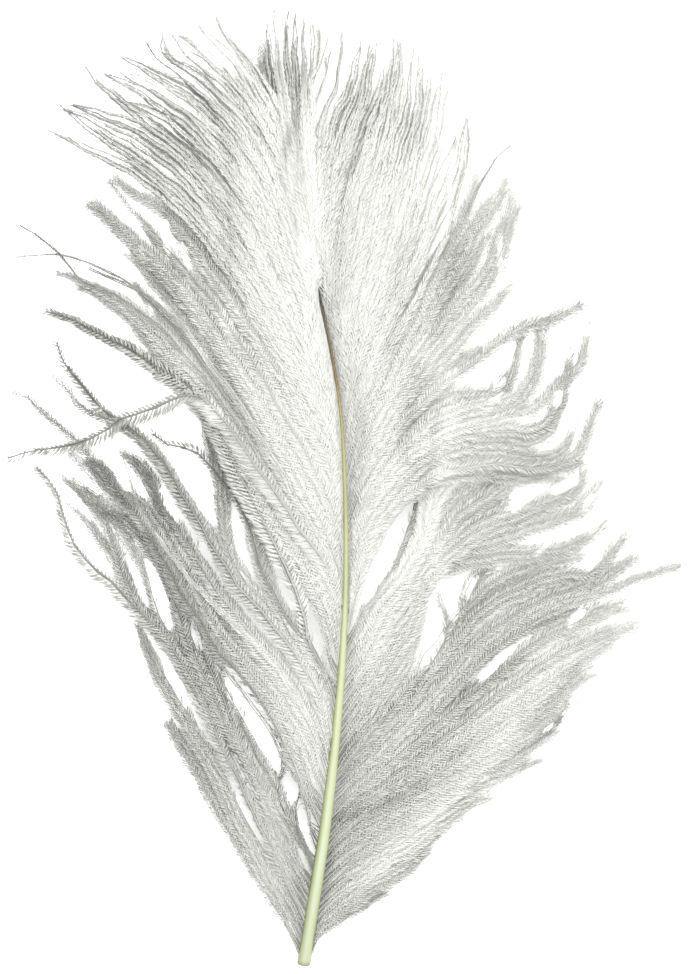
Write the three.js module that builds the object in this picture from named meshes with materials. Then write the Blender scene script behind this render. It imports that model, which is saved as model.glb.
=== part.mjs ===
// Ostrich plume, lying on a table. Millimetres, +Z up.
//
// The plume lies along Y with its cut butt at -Y and its crown at +Y. It touches the table, z = 0, with its
// butt and with the outer ends of its barbs, and the shaft arches over the table between them.
//
// A plume branches: barbs leave both sides of the shaft and cling together in bunches, here called locks.
// The shaft is one solid, and each lock is one flattened solid that keeps a narrow gap to its neighbours.

import * as THREE from 'three';

// ---- Driving dimensions -------------------------------------------------------------------------------

const LENGTH = 500; // butt to the highest crown tips
const BUTT_WIDTH = 7.6; // the quill where it is cut
const ROOT_GAP = 0.4; // between the shaft and the first barbs of a lock
const ROOT_THICKNESS = 2.2; // of a lock where it leaves the shaft
const END_THICKNESS = 1.4; // of a lock at its outer end
const LANDING = 0.8; // the share of a lock's length where it comes down on the table
const PUFF_SKEW = 0.8; // under 1, a lock is thickest a little nearer to its root than to its outer end

const BUTT_Y = -LENGTH / 2;

// The shaft's centre line from the butt to the end of the rachis, with its height over the table and its
// width. The butt lies on the table, so it starts half its width up.
const SHAFT = [
  { x: -24.0, y: BUTT_Y, height: BUTT_WIDTH / 2, width: BUTT_WIDTH },
  { x: -17.6, y: -210, height: 5.5, width: 6.7 },
  { x: -11.3, y: -168, height: 9, width: 5.6 },
  { x: -6.6, y: -126, height: 13.5, width: 4.8 },
  { x: -3.2, y: -84, height: 18, width: 4.0 },
  { x: -1.6, y: -42, height: 22, width: 3.2 },
  { x: -2.1, y: 0, height: 25, width: 2.6 },
  { x: -4.5, y: 42, height: 27, width: 1.8 },
  { x: -9.5, y: 74, height: 28, width: 1.3 },
  { x: -16.3, y: 103, height: 28.5, width: 0.8 },
  { x: -19.0, y: 112, height: 28.5, width: 0.6 },
];
const SHAFT_STATIONS = 30;
const SHAFT_SIDES = 10;
const RACHIS_FLATNESS = 0.92; // height over width

// Each lock has a root, the stretch of shaft that its barbs leave, and two edges seen from above, which run
// from the two ends of the root to the lock's tip. "rise" is how far it arches above a straight line from
// the shaft to the table, and "puff" how thick its barbs stand in the middle of it.
const LEFT_LOCKS = [
  {
    root: [-244, -232], rise: 2, puff: 3,
    lower: [[-44, -212], [-73, -167], [-98, -121], [-113, -75]],
    upper: [[-41, -200], [-61, -164], [-79, -130], [-93, -103], [-110, -74]],
  },
  {
    root: [-230, -213], rise: 3, puff: 3.5,
    lower: [
      [-39, -198], [-58, -161], [-76, -128], [-89, -101], [-106, -71], [-132, -49], [-150, -20],
      [-157, 4],
    ],
    upper: [
      [-34, -186], [-48, -161], [-61, -138], [-72, -112], [-83, -88], [-93, -70], [-108, -44],
      [-126, -18], [-150, 5],
    ],
  },
  {
    root: [-211, -192], rise: 3, puff: 3.5,
    lower: [[-32, -185], [-46, -160], [-59, -137], [-70, -112], [-80, -88], [-86, -71]],
    upper: [[-25, -173], [-37, -148], [-48, -128], [-60, -108], [-67, -90], [-82, -69]],
  },
  {
    root: [-190, -130], rise: 4, puff: 4,
    lower: [
      [-23, -166], [-31, -145], [-40, -126], [-52, -105], [-64, -88], [-81, -65], [-97, -43],
      [-114, -20], [-138, 4], [-158, 30], [-177, 50],
    ],
    upper: [
      [-20, -110], [-34, -89], [-52, -69], [-70, -49], [-88, -28], [-108, -4], [-128, 17],
      [-150, 40], [-177, 52.5],
    ],
  },
  {
    root: [-128, -106], rise: 5, puff: 4,
    lower: [
      [-18, -107], [-32, -86], [-50, -66], [-68, -46], [-86, -25], [-106, 0], [-123, 26],
      [-140, 50], [-153, 74],
    ],
    upper: [
      [-14, -88], [-27, -65], [-43, -46], [-60, -28], [-76, -6], [-92, 18], [-112, 40], [-134, 57],
      [-151, 76],
    ],
  },
  {
    root: [-104, -86], rise: 6, puff: 4.5,
    lower: [
      [-13, -84], [-26, -61], [-42, -42], [-58, -23], [-68, -4], [-74, 14], [-82, 36], [-96, 54],
      [-124, 74], [-157, 93],
    ],
    upper: [
      [-11, -66], [-19, -48], [-31, -30], [-42, -14], [-54, 4], [-62, 20], [-71, 38], [-84, 56],
      [-104, 70], [-130, 84], [-158, 96],
    ],
  },
  {
    root: [-84, -48], rise: 7, puff: 6,
    lower: [
      [-9.5, -62], [-17.5, -45], [-29.5, -27], [-40.5, -11], [-52, 7], [-60, 23], [-69, 41],
      [-82, 59.5], [-100, 76], [-116, 90], [-134, 103], [-150, 113],
    ],
    upper: [
      [-10, -26], [-20, -4], [-32, 18], [-46, 40], [-62, 64], [-80, 84], [-98, 102], [-118, 114],
      [-151, 117],
    ],
  },
  {
    root: [-46, -14], rise: 8, puff: 7,
    lower: [
      [-9, -22], [-19, -1], [-31, 21], [-45, 43], [-61, 67], [-79, 87.5], [-97, 106], [-116, 124],
      [-139, 149],
    ],
    upper: [[-10, 8], [-20, 30], [-32, 52], [-46, 76], [-62, 102], [-80, 124], [-100, 142], [-134, 154]],
  },
  {
    root: [-12, 18], rise: 9, puff: 8,
    lower: [
      [-9, 11], [-19, 33], [-31, 55], [-45, 79], [-61, 105], [-79, 127.5], [-98, 146], [-114, 162],
      [-132, 177], [-156, 188],
    ],
    upper: [
      [-11, 38], [-20, 58], [-32, 84], [-46, 108], [-62, 134], [-80, 156], [-100, 174], [-124, 188],
      [-155, 191],
    ],
  },
];

const RIGHT_LOCKS = [
  {
    root: [-245, -229], rise: 1, puff: 2.5,
    lower: [[-13, -236], [-5, -229], [6, -223], [19, -215], [33, -202]],
    upper: [[-9, -220], [8, -208], [22, -200.5], [35, -198]],
  },
  {
    root: [-227, -212], rise: 2, puff: 3.5,
    lower: [[-8, -218], [9, -206], [23, -198.5], [41, -188], [59, -170], [80, -156], [98, -145]],
    upper: [[-2, -201], [14, -189], [32, -175.5], [52, -159.5], [70, -148.5], [88, -141.5], [103, -140]],
  },
  {
    root: [-210, -190], rise: 3, puff: 4,
    lower: [
      [-1, -199.5], [15, -187.5], [33, -174], [53, -158], [71, -147], [89, -140], [106, -137],
      [118, -119], [131, -101],
    ],
    upper: [
      [0, -177], [16, -167], [34, -157], [54, -141], [74, -128.5], [94, -117.5], [112, -107.5],
      [130, -98],
    ],
  },
  {
    root: [-188, -170], rise: 4, puff: 5,
    lower: [
      [1, -175.5], [17, -165.5], [35, -155.5], [55, -139.5], [75, -127], [95, -116], [113, -106],
      [134, -92], [142, -82], [154, -77],
    ],
    upper: [
      [0, -156], [16, -142.5], [34, -129], [52, -116], [66, -105.5], [80, -95.5], [92, -85.5],
      [110, -78.5], [132, -71.5], [153, -69],
    ],
  },
  {
    root: [-168, -151], rise: 5, puff: 5,
    lower: [
      [1.5, -152.5], [17.5, -139.5], [35.5, -126], [52.5, -113], [65.5, -102.5], [78, -92],
      [91, -82], [111, -74], [133, -62], [155, -48], [179, -39.5],
    ],
    upper: [
      [8, -138], [22, -124.5], [34, -112], [46, -92], [57, -77], [70, -63], [86, -54], [104, -47.5],
      [126, -41], [150, -40], [178.5, -37],
    ],
  },
  {
    root: [-149, -114], rise: 6, puff: 5,
    lower: [
      [8, -135], [20, -121.5], [30, -108], [37, -92], [41, -77], [49, -58], [62, -45], [78, -38],
      [96, -32], [114, -26], [136, -15],
    ],
    upper: [
      [7, -98], [16, -80], [25, -62], [33, -45], [43, -32], [57, -24], [74, -18], [92, -13],
      [112, -5], [134, 3],
    ],
  },
  {
    root: [-112, -80], rise: 7, puff: 5,
    lower: [
      [8, -95.5], [17, -77.5], [26, -59.5], [34, -42.5], [44.5, -29], [58, -20.5], [76, -14],
      [97, -6], [121, 8],
    ],
    upper: [
      [8, -66], [15, -50], [22, -35], [28, -20], [34, -5], [43, 9], [56, 17], [76, 20], [98, 19],
      [122, 14],
    ],
  },
  {
    root: [-78, -46], rise: 8, puff: 6,
    lower: [
      [4.5, -62], [8, -48], [12, -33], [20, -17], [30, -2], [41, 11.5], [55, 20], [75, 24],
      [96, 26], [114, 34], [130, 47],
    ],
    upper: [[5, -27], [11, -9], [20, 11], [32, 31], [48, 45], [66, 51], [86, 51], [104, 56], [118, 72]],
  },
  {
    root: [-44, -12], rise: 9, puff: 7,
    lower: [
      [5, -24.5], [11.5, -6.5], [20.5, 14], [32, 34], [47.5, 48.5], [66, 55], [86, 58], [105, 72],
      [125, 92],
    ],
    upper: [[3.5, 7], [10, 27], [19, 46], [31, 64], [46, 76], [62, 80], [78, 82], [96, 90], [124, 98]],
  },
  {
    root: [-10, 14], rise: 10, puff: 8,
    lower: [[3.5, 9], [9.5, 29], [19, 49], [31, 67], [46, 79], [62, 86], [76, 98], [84, 114], [88, 150]],
    upper: [[3, 32], [8, 54], [16, 76], [26, 98], [37, 118], [48, 134], [59, 149], [70, 164]],
  },
  {
    root: [16, 38], rise: 11, puff: 9,
    lower: [[2, 34.5], [7, 56], [15, 78], [25, 100], [36, 120], [47, 137], [55, 158], [59, 192]],
    upper: [[1, 58], [5, 80], [12, 104], [20, 128], [28, 150], [37, 172], [44, 194], [50, 214]],
  },
];

const CROWN_LOCKS = [
  {
    side: -1, root: [20, 42], rise: 10, puff: 9,
    lower: [
      [-10, 41], [-19, 61], [-31, 87], [-45, 111], [-61, 137], [-79, 159], [-99, 178], [-123, 194],
      [-147, 204],
    ],
    upper: [
      [-13, 63], [-22, 85], [-34, 111], [-46, 138], [-59, 164], [-76, 186], [-97, 204], [-134, 220],
    ],
  },
  {
    side: -1, root: [44, 62], rise: 11, puff: 10,
    lower: [
      [-12.5, 66], [-21, 87.5], [-33, 113.5], [-45, 140.5], [-58, 166.5], [-75, 188.5],
      [-95, 206.5], [-116, 224],
    ],
    upper: [
      [-15, 84], [-24.5, 106], [-32.5, 131], [-39.5, 157], [-49, 183], [-62.5, 205], [-80, 223],
      [-102, 236],
    ],
  },
  {
    side: -1, root: [64, 82], rise: 12, puff: 11,
    lower: [
      [-14, 86.5], [-23, 107.5], [-31, 132], [-38, 158], [-47.5, 184], [-61, 206], [-75, 226],
      [-86, 242],
    ],
    upper: [
      [-15.8, 94], [-21, 108], [-25, 122], [-28.5, 143], [-33, 167], [-39, 191], [-47, 212],
      [-57, 230], [-68, 245],
    ],
  },
  {
    side: -1, root: [88, 111], rise: 12, puff: 12,
    lower: [
      [-17.8, 101.5], [-20, 109], [-23.5, 121], [-27, 143], [-31.5, 167], [-37.5, 191],
      [-42.5, 212], [-46, 232], [-42, 249],
    ],
    upper: [[-20, 124], [-20, 146], [-20.5, 170], [-21, 194], [-21, 214], [-23, 234], [-31, 250]],
  },
  {
    side: 1, root: [78, 110], rise: 12, puff: 11,
    lower: [[-9, 98], [-6, 120], [0, 146], [6, 170], [11, 192], [14.5, 212], [14, 234]],
    upper: [[-18.5, 126], [-18, 148], [-17, 170], [-14, 190], [-9, 206], [-2, 222], [4, 234]],
  },
  {
    side: 1, root: [60, 76], rise: 12, puff: 10,
    lower: [[-4, 82], [0, 106], [7, 132], [14, 156], [21, 180], [27, 202], [30, 220], [29, 236]],
    upper: [
      [-7.5, 97], [-4.5, 119], [1.5, 145], [7.5, 169], [12.5, 191], [16.5, 208], [20, 222],
      [23, 237],
    ],
  },
  {
    side: 1, root: [41, 58], rise: 11, puff: 10,
    lower: [[-0.5, 60], [4, 82], [11, 106], [19, 130], [27, 152], [35.5, 174], [41, 196], [44, 218]],
    upper: [
      [-2.5, 81], [1.5, 105], [8.5, 131], [15.5, 155], [22.5, 179], [28.5, 201], [32, 218],
      [35, 231],
    ],
  },
];
const LOCK_STATIONS = 12;

// A lock's section from above its lower edge to above its upper edge: "across" is the place between the two
// edges, and "up" the share of the thickness. The underside is flat, so that it can lie on the table.
const LOCK_SECTION = [
  { across: 0, up: 0.45 },
  { across: 0.15, up: 0 },
  { across: 0.85, up: 0 },
  { across: 1, up: 0.45 },
  { across: 0.75, up: 0.9 },
  { across: 0.5, up: 1 },
  { across: 0.25, up: 0.9 },
];

// ---- Materials ----------------------------------------------------------------------------------------

function keratin(color, roughness) {
  return new THREE.MeshStandardMaterial({ color, roughness, metalness: 0 });
}

const quillKeratin = keratin('#dfe8c4', 0.4);
const barbKeratin = keratin('#d9dad4', 0.85);

// ---- Helpers ------------------------------------------------------------------------------------------

// A smooth curve through the shaft's rows, read by the distance along Y.
const shaftCurve = new THREE.CubicInterpolant(
  SHAFT.map((row) => row.y),
  SHAFT.flatMap((row) => [row.x, row.height, row.width]),
  3,
);

function shaftAt(y) {
  const [x, height, width] = shaftCurve.evaluate(y);
  return { centre: new THREE.Vector3(x, y, height), width };
}

function shaftDirection(y) {
  const step = 0.5;
  const before = shaftAt(Math.max(y - step, BUTT_Y)).centre;
  const after = shaftAt(Math.min(y + step, SHAFT.at(-1).y)).centre;
  return after.sub(before).normalize();
}

// Closes a row of rings, each a list of points in the same order, into one solid with fan-shaped ends.
function loft(rings) {
  const sides = rings[0].length;
  const positions = rings.flat().flatMap((point) => point.toArray());
  const faces = [];
  for (let ring = 0; ring < rings.length - 1; ring += 1) {
    for (let side = 0; side < sides; side += 1) {
      const next = (side + 1) % sides;
      const here = ring * sides;
      const there = here + sides;
      faces.push(here + side, here + next, there + next);
      faces.push(here + side, there + next, there + side);
    }
  }
  const last = (rings.length - 1) * sides;
  for (let side = 1; side < sides - 1; side += 1) {
    faces.push(0, side + 1, side);
    faces.push(last, last + side, last + side + 1);
  }
  const geometry = new THREE.BufferGeometry();
  geometry.setAttribute('position', new THREE.Float32BufferAttribute(positions, 3));
  geometry.setIndex(faces);
  return geometry;
}

function part(name, geometry, material) {
  geometry.computeVertexNormals();
  const mesh = new THREE.Mesh(geometry, material);
  mesh.name = name;
  return mesh;
}

// ---- Quill --------------------------------------------------------------------------------------------

// One ring of the shaft at a place along Y, square to the shaft, slightly flatter than wide.
function shaftRing(y) {
  const { centre, width } = shaftAt(y);
  const along = shaftDirection(y);
  const aside = new THREE.Vector3(0, 0, 1).cross(along).normalize();
  const up = along.clone().cross(aside);
  const flatness = THREE.MathUtils.mapLinear(y, BUTT_Y, SHAFT.at(-1).y, 1, RACHIS_FLATNESS);
  const ring = [];
  for (let side = 0; side < SHAFT_SIDES; side += 1) {
    const angle = (side / SHAFT_SIDES) * 2 * Math.PI;
    const point = centre.clone();
    point.addScaledVector(up, (Math.cos(angle) * flatness * width) / 2);
    point.addScaledVector(aside, (Math.sin(angle) * width) / 2);
    ring.push(point);
  }
  return ring;
}

function quill() {
  const rings = [];
  for (let station = 0; station < SHAFT_STATIONS; station += 1) {
    const y = THREE.MathUtils.lerp(BUTT_Y, SHAFT.at(-1).y, station / (SHAFT_STATIONS - 1));
    rings.push(shaftRing(y));
  }
  return part('quill', loft(rings.reverse()), quillKeratin);
}

// ---- Locks --------------------------------------------------------------------------------------------

// Where a lock's edge leaves the shaft: beside it, a small gap clear of its widest place.
function rootPoint(y, side) {
  const { centre, width } = shaftAt(y);
  const along = shaftDirection(y);
  const outward = new THREE.Vector3(along.y, -along.x, 0).normalize().multiplyScalar(side);
  return centre.setZ(0).addScaledVector(outward, width / 2 + ROOT_GAP);
}

function edgeCurve(rootY, side, points) {
  const plan = points.map(([x, y]) => new THREE.Vector3(x, y, 0));
  return new THREE.CatmullRomCurve3([rootPoint(rootY, side), ...plan], false, 'centripetal');
}

// The underside of a lock at a share of its length: down from the shaft in an arch, then flat on the table.
function undersideHeight(share, rootHeight, rise) {
  const fall = Math.min(1, share / LANDING);
  const straight = rootHeight * Math.cos((fall * Math.PI) / 2) ** 2;
  return straight + rise * Math.sin(fall * Math.PI);
}

function lockThickness(share, puff) {
  const grown = puff * Math.sin(Math.PI * share ** PUFF_SKEW);
  return THREE.MathUtils.lerp(ROOT_THICKNESS, END_THICKNESS, share) + grown;
}

function lock(name, { side, root, rise, puff, lower, upper }) {
  const lowerPoints = edgeCurve(root[0], side, lower).getSpacedPoints(LOCK_STATIONS - 1);
  const upperPoints = edgeCurve(root[1], side, upper).getSpacedPoints(LOCK_STATIONS - 1);
  const rings = lowerPoints.map((lowerPoint, station) => {
    const share = station / (LOCK_STATIONS - 1);
    const thickness = lockThickness(share, puff);
    return LOCK_SECTION.map(({ across, up }) => {
      const rootY = THREE.MathUtils.lerp(root[0], root[1], across);
      const rootHeight = shaftAt(rootY).centre.z - ROOT_THICKNESS / 2;
      const point = lowerPoint.clone().lerp(upperPoints[station], across);
      return point.setZ(undersideHeight(share, rootHeight, rise) + up * thickness);
    });
  });
  if (side < 0) rings.reverse();
  return part(name, loft(rings), barbKeratin);
}

// ---- The plume ----------------------------------------------------------------------------------------

const group = new THREE.Group();
group.name = 'ostrich_plume';
group.add(quill());
LEFT_LOCKS.forEach((shape, i) => group.add(lock(`left_lock_${i + 1}`, { side: -1, ...shape })));
RIGHT_LOCKS.forEach((shape, i) => group.add(lock(`right_lock_${i + 1}`, { side: 1, ...shape })));
CROWN_LOCKS.forEach((shape, i) => group.add(lock(`crown_lock_${i + 1}`, shape)));

export default group;
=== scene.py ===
# %% [markdown]
# # A white ostrich plume, lying on a pale table
#
# This lesson dresses a plain frame of solids as a real plume. The frame gives the quill and the bunches of
# barbs, called locks here, at their true size and place. Each step says what the piece is on a real plume,
# how it could be made, and why it is made the way it is. Lengths are in millimetres unless a name says more.

# %% Load the frame
import math

import bpy
import numpy as np
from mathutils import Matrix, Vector


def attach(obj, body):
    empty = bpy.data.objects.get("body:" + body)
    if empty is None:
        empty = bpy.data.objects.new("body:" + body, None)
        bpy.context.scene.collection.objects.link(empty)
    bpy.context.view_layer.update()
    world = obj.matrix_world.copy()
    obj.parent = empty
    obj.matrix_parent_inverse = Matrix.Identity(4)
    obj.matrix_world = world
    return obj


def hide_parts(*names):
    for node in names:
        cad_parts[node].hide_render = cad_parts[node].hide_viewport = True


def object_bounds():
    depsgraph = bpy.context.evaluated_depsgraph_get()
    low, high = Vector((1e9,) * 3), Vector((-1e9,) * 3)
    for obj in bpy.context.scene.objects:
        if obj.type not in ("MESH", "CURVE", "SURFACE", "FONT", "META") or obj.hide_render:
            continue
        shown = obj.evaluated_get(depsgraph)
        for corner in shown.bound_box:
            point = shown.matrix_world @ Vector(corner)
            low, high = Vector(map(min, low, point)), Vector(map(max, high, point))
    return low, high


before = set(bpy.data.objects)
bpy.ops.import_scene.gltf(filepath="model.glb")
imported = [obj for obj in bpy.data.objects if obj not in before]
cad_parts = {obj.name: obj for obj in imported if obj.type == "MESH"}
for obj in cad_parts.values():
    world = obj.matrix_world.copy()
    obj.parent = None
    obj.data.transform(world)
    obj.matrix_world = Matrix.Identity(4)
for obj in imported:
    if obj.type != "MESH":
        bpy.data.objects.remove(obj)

MM = 0.001
cad_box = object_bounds()
cad_low, cad_high = (np.array(corner) / MM for corner in cad_box)
print("the frame measures", (cad_high - cad_low).round(1), "mm and has", len(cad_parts), "solids")

# %% [markdown]
# ## Nodes and colours
#
# Every material below is built from nodes. One small function adds a node with its settings, and feeds its
# inputs. Colours are written as the hex values that a paint program shows, and another function turns them to
# the linear values that a shader wants.


# %% A node, a colour and a colour ramp
def feed(tree, node, inputs):
    """Sets a node's inputs, by name or number, to values, or links them from sockets."""
    for key, value in inputs.items():
        if isinstance(value, bpy.types.NodeSocket):
            tree.links.new(value, node.inputs[key])
        else:
            node.inputs[key].default_value = value


def add_node(tree, kind, inputs=None, **settings):
    """Adds a node. settings are its own properties."""
    node = tree.nodes.new(kind)
    for name, value in settings.items():
        setattr(node, name, value)
    feed(tree, node, inputs or {})
    return node


def linear(hex_colour):
    """An sRGB hex colour as linear RGBA."""
    channels = [int(hex_colour[i : i + 2], 16) / 255 for i in (1, 3, 5)]
    curve = [c / 12.92 if c <= 0.04045 else ((c + 0.055) / 1.055) ** 2.4 for c in channels]
    return (*curve, 1.0)


def fill_ramp(ramp_node, stops):
    """Sets a colour ramp from pairs of place and hex colour."""
    elements = ramp_node.color_ramp.elements
    while len(elements) < len(stops):
        elements.new(0.5)
    for element, (place, colour) in zip(elements, stops):
        element.position = place
        element.color = linear(colour)


def new_material(name):
    material = bpy.data.materials.new(name)
    material.use_nodes = True
    tree = material.node_tree
    return material, tree, tree.nodes["Principled BSDF"]


print("white card is", [round(c, 3) for c in linear("#fafafa")], "as a linear colour")

# %% [markdown]
# ## The shaft's line
#
# Everything on a plume hangs off one line, the middle of its shaft. It lies almost straight, leans a little
# to the left at both ends, and arches some 28 mm over the table, because the barbs hold it up. A short list
# of points, joined by a smooth curve, is all that it needs. The quill and every barb's root read from it.

# %% The shaft's line
BUTT_Y = -250.0
SHAFT_END_Y = 112.0
# x, y, height of the centre line over the table, and width
SHAFT_ROWS = np.array([
    (-24.0, BUTT_Y, 3.8, 7.1),
    (-17.6, -210, 5.5, 7.0),
    (-11.3, -168, 9.0, 6.1),
    (-6.6, -126, 13.5, 5.2),
    (-3.2, -84, 18.0, 4.3),
    (-1.6, -42, 22.0, 3.5),
    (-2.1, 0, 25.0, 2.9),
    (-4.5, 42, 27.0, 2.2),
    (-9.5, 74, 28.0, 1.7),
    (-16.3, 103, 28.5, 1.1),
    (-19.0, SHAFT_END_Y, 28.5, 0.7),
])


def hermite(xs, ys, x):
    """A smooth curve through the points (xs, ys), read at x. ys may have several columns."""
    slopes = np.gradient(ys, xs, axis=0)
    i = np.clip(np.searchsorted(xs, x) - 1, 0, len(xs) - 2)
    span = xs[i + 1] - xs[i]
    t = ((x - xs[i]) / span)[..., None]
    span = span[..., None]
    near = (1 + 2 * t) * (1 - t) ** 2 * ys[i] + t * (1 - t) ** 2 * span * slopes[i]
    far = t**2 * (3 - 2 * t) * ys[i + 1] + t**2 * (t - 1) * span * slopes[i + 1]
    return near + far


def shaft_at(y):
    """x, height and width of the shaft at each y. Past its ends they stay as they are at the end."""
    y = np.clip(np.asarray(y, float), BUTT_Y, SHAFT_END_Y)
    row = hermite(SHAFT_ROWS[:, 1], SHAFT_ROWS[:, [0, 2, 3]], y)
    return row[..., 0], row[..., 1], row[..., 2]


print("the shaft is", round(SHAFT_END_Y - BUTT_Y), "mm long in a straight line along Y")

# %% [markdown]
# ## One mesh from many strips
#
# A barb is a hair-thin shaft with two rows of barbules, and there are hundreds of barbs and hundreds of
# thousands of barbules. Hair particles would be the quick way, but particles aren't a mesh, so nothing
# downstream could use them. Modelling each as an object would drown the scene. So numbers do the work: every
# strip is a few rows in one array, and each lock's arrays become one mesh at the end.


# %% A mesh from arrays
def mesh_from_arrays(name, points, faces, tone=None, material=None):
    """points in mm, faces as triangles, tone as one number per point."""
    mesh = bpy.data.meshes.new(name)
    mesh.vertices.add(len(points))
    mesh.vertices.foreach_set("co", (points * MM).astype(np.float32).ravel())
    mesh.loops.add(len(faces) * 3)
    mesh.loops.foreach_set("vertex_index", faces.astype(np.int32).ravel())
    mesh.polygons.add(len(faces))
    mesh.polygons.foreach_set("loop_start", np.arange(0, len(faces) * 3, 3, dtype=np.int32))
    if tone is not None:
        attribute = mesh.attributes.new("tone", "FLOAT", "POINT")
        attribute.data.foreach_set("value", tone.astype(np.float32))
    mesh.update(calc_edges=True)
    if material:
        mesh.materials.append(material)
    piece = bpy.data.objects.new(name, mesh)
    bpy.context.scene.collection.objects.link(piece)
    return piece


# %% [markdown]
# ## A tube round a line
#
# The quill is a tube, and so is the thin stem of every barb. Both are rings of points round a line, with two
# triangles between each pair of neighbours. A tube needs to know which way its line runs, what is aside of it
# and what is up, and where a barb twists, its barbules need the same.


# %% Lines and tubes
def unit(vectors):
    return vectors / np.maximum(np.linalg.norm(vectors, axis=-1, keepdims=True), 1e-9)


def lengths_along(line):
    """How far each point of a line is from its start."""
    return np.concatenate([[0], np.cumsum(np.linalg.norm(np.diff(line, axis=0), axis=1))])


def aside_and_up(along):
    """The level direction across a line, and the one that stands on both."""
    aside = unit(np.cross(along, (0, 0, 1)))
    return aside, np.cross(aside, along)


def tube(centres, aside, up, radius, sides, first_angle=0.0):
    """Points in rings round a line, and the triangles between the rings."""
    angles = 2 * math.pi * np.arange(sides) / sides + first_angle
    rings = [centres + radius * (math.cos(angle) * aside + math.sin(angle) * up) for angle in angles]
    points = np.stack(rings, axis=1).reshape(-1, 3)
    ring_starts = np.arange(len(centres) - 1)[:, None] * sides
    here = ring_starts + np.arange(sides)
    turn = ring_starts + (np.arange(sides) + 1) % sides
    first = np.stack([here, turn, turn + sides], axis=-1).reshape(-1, 3)
    second = np.stack([here, turn + sides, here + sides], axis=-1).reshape(-1, 3)
    return points, np.concatenate([first, second])


# %% [markdown]
# ## The kinds of barb
#
# A wing plume's barbs aren't all alike. On the sides they end in soft blunt brushes. In the crown they are
# worn sleek, with short barbules that cling to the barb and a tip like a needle. A few have worked loose, and
# carry long barbules that stand out like a comb. Real barbules are about 0.1 mm thick and 0.3 mm apart, which
# is far too fine to show at arm's length, so these are drawn two to three times as coarse.

# %% The kinds of barb
# length: of a barbule. pitch: between barbules on one side. angle: from the barb, in degrees. bunch: between
# the small bunches that barbules cling in. tip, tip_angle: what share of the length is left at the barb's
# tip, and the angle there. fade_from: the share of the barb where that change starts. ramus: how much lighter
# the barb's own stem is. thick: how stout the barb is.
KIND_COLUMNS = ("length", "pitch", "angle", "bunch", "tip", "tip_angle", "fade_from", "ramus", "thick")
KIND_ROWS = {
    "soft": (5.4, 0.76, 48, 1.9, 0.62, 32, 0.70, 0.16, 1.0),
    "short": (4.6, 0.70, 42, 1.7, 0.70, 32, 0.75, 0.14, 1.0),
    "blunt": (5.0, 0.72, 48, 1.8, 0.85, 36, 0.85, 0.16, 1.0),
    "needle": (4.8, 0.78, 34, 2.2, 0.60, 9, 0.38, 0.24, 1.5),
    "loose": (7.0, 0.90, 52, 2.4, 0.55, 40, 0.70, -0.10, 2.8),
    "bare": (3.2, 0.80, 30, 1.8, 0.50, 14, 0.40, 0.18, 1.5),
}
BARB_KINDS = {kind: dict(zip(KIND_COLUMNS, row)) for kind, row in KIND_ROWS.items()}
print(len(BARB_KINDS), "kinds of barb")

# %% [markdown]
# ## Smooth change and steady chance
#
# Nothing on a plume changes at a sharp line, so lengths, angles and tones fade from one value to another.
# Nothing repeats either, so each barb swings a little by chance. The chance is seeded: it gives the same
# plume on every run.

# %% Smooth change and steady chance
SAMPLES = 96  # points along a barb
rng = np.random.default_rng(1903)


def smoothstep(low, high, x):
    """0 below low, 1 above high, and a smooth rise between them."""
    t = np.clip((x - low) / (high - low), 0, 1)
    return t * t * (3 - 2 * t)


def wave(lengths, spacing):
    """A smooth random swing between -1 and 1 along a line."""
    start, second = rng.uniform(0, 2 * math.pi, 2)
    turns = 2 * math.pi * lengths / (spacing * rng.uniform(0.8, 1.25))
    return 0.6 * np.sin(turns + start) + 0.4 * np.sin(2.3 * turns + second)


def smooth_line(points):
    """A smooth line through points in plan, sampled evenly along its length."""
    chords = np.linalg.norm(np.diff(points, axis=0), axis=1)
    places = np.concatenate([[0], np.cumsum(np.sqrt(chords))])
    dense = hermite(places, points, np.linspace(0, places[-1], 4 * SAMPLES))
    lengths = lengths_along(dense)
    even = np.linspace(0, lengths[-1], SAMPLES)
    return np.stack([np.interp(even, lengths, dense[:, k]) for k in (0, 1)], axis=1)


# %% [markdown]
# ## Openings
#
# Where two tufts part, the table shows between them. These are the openings of this plume, each an outline in
# plan. Barbs part to run along its rims, few barbules end in it, and only a stray barb crosses it. The
# shaft's own back stays clear in the same way.

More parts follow.
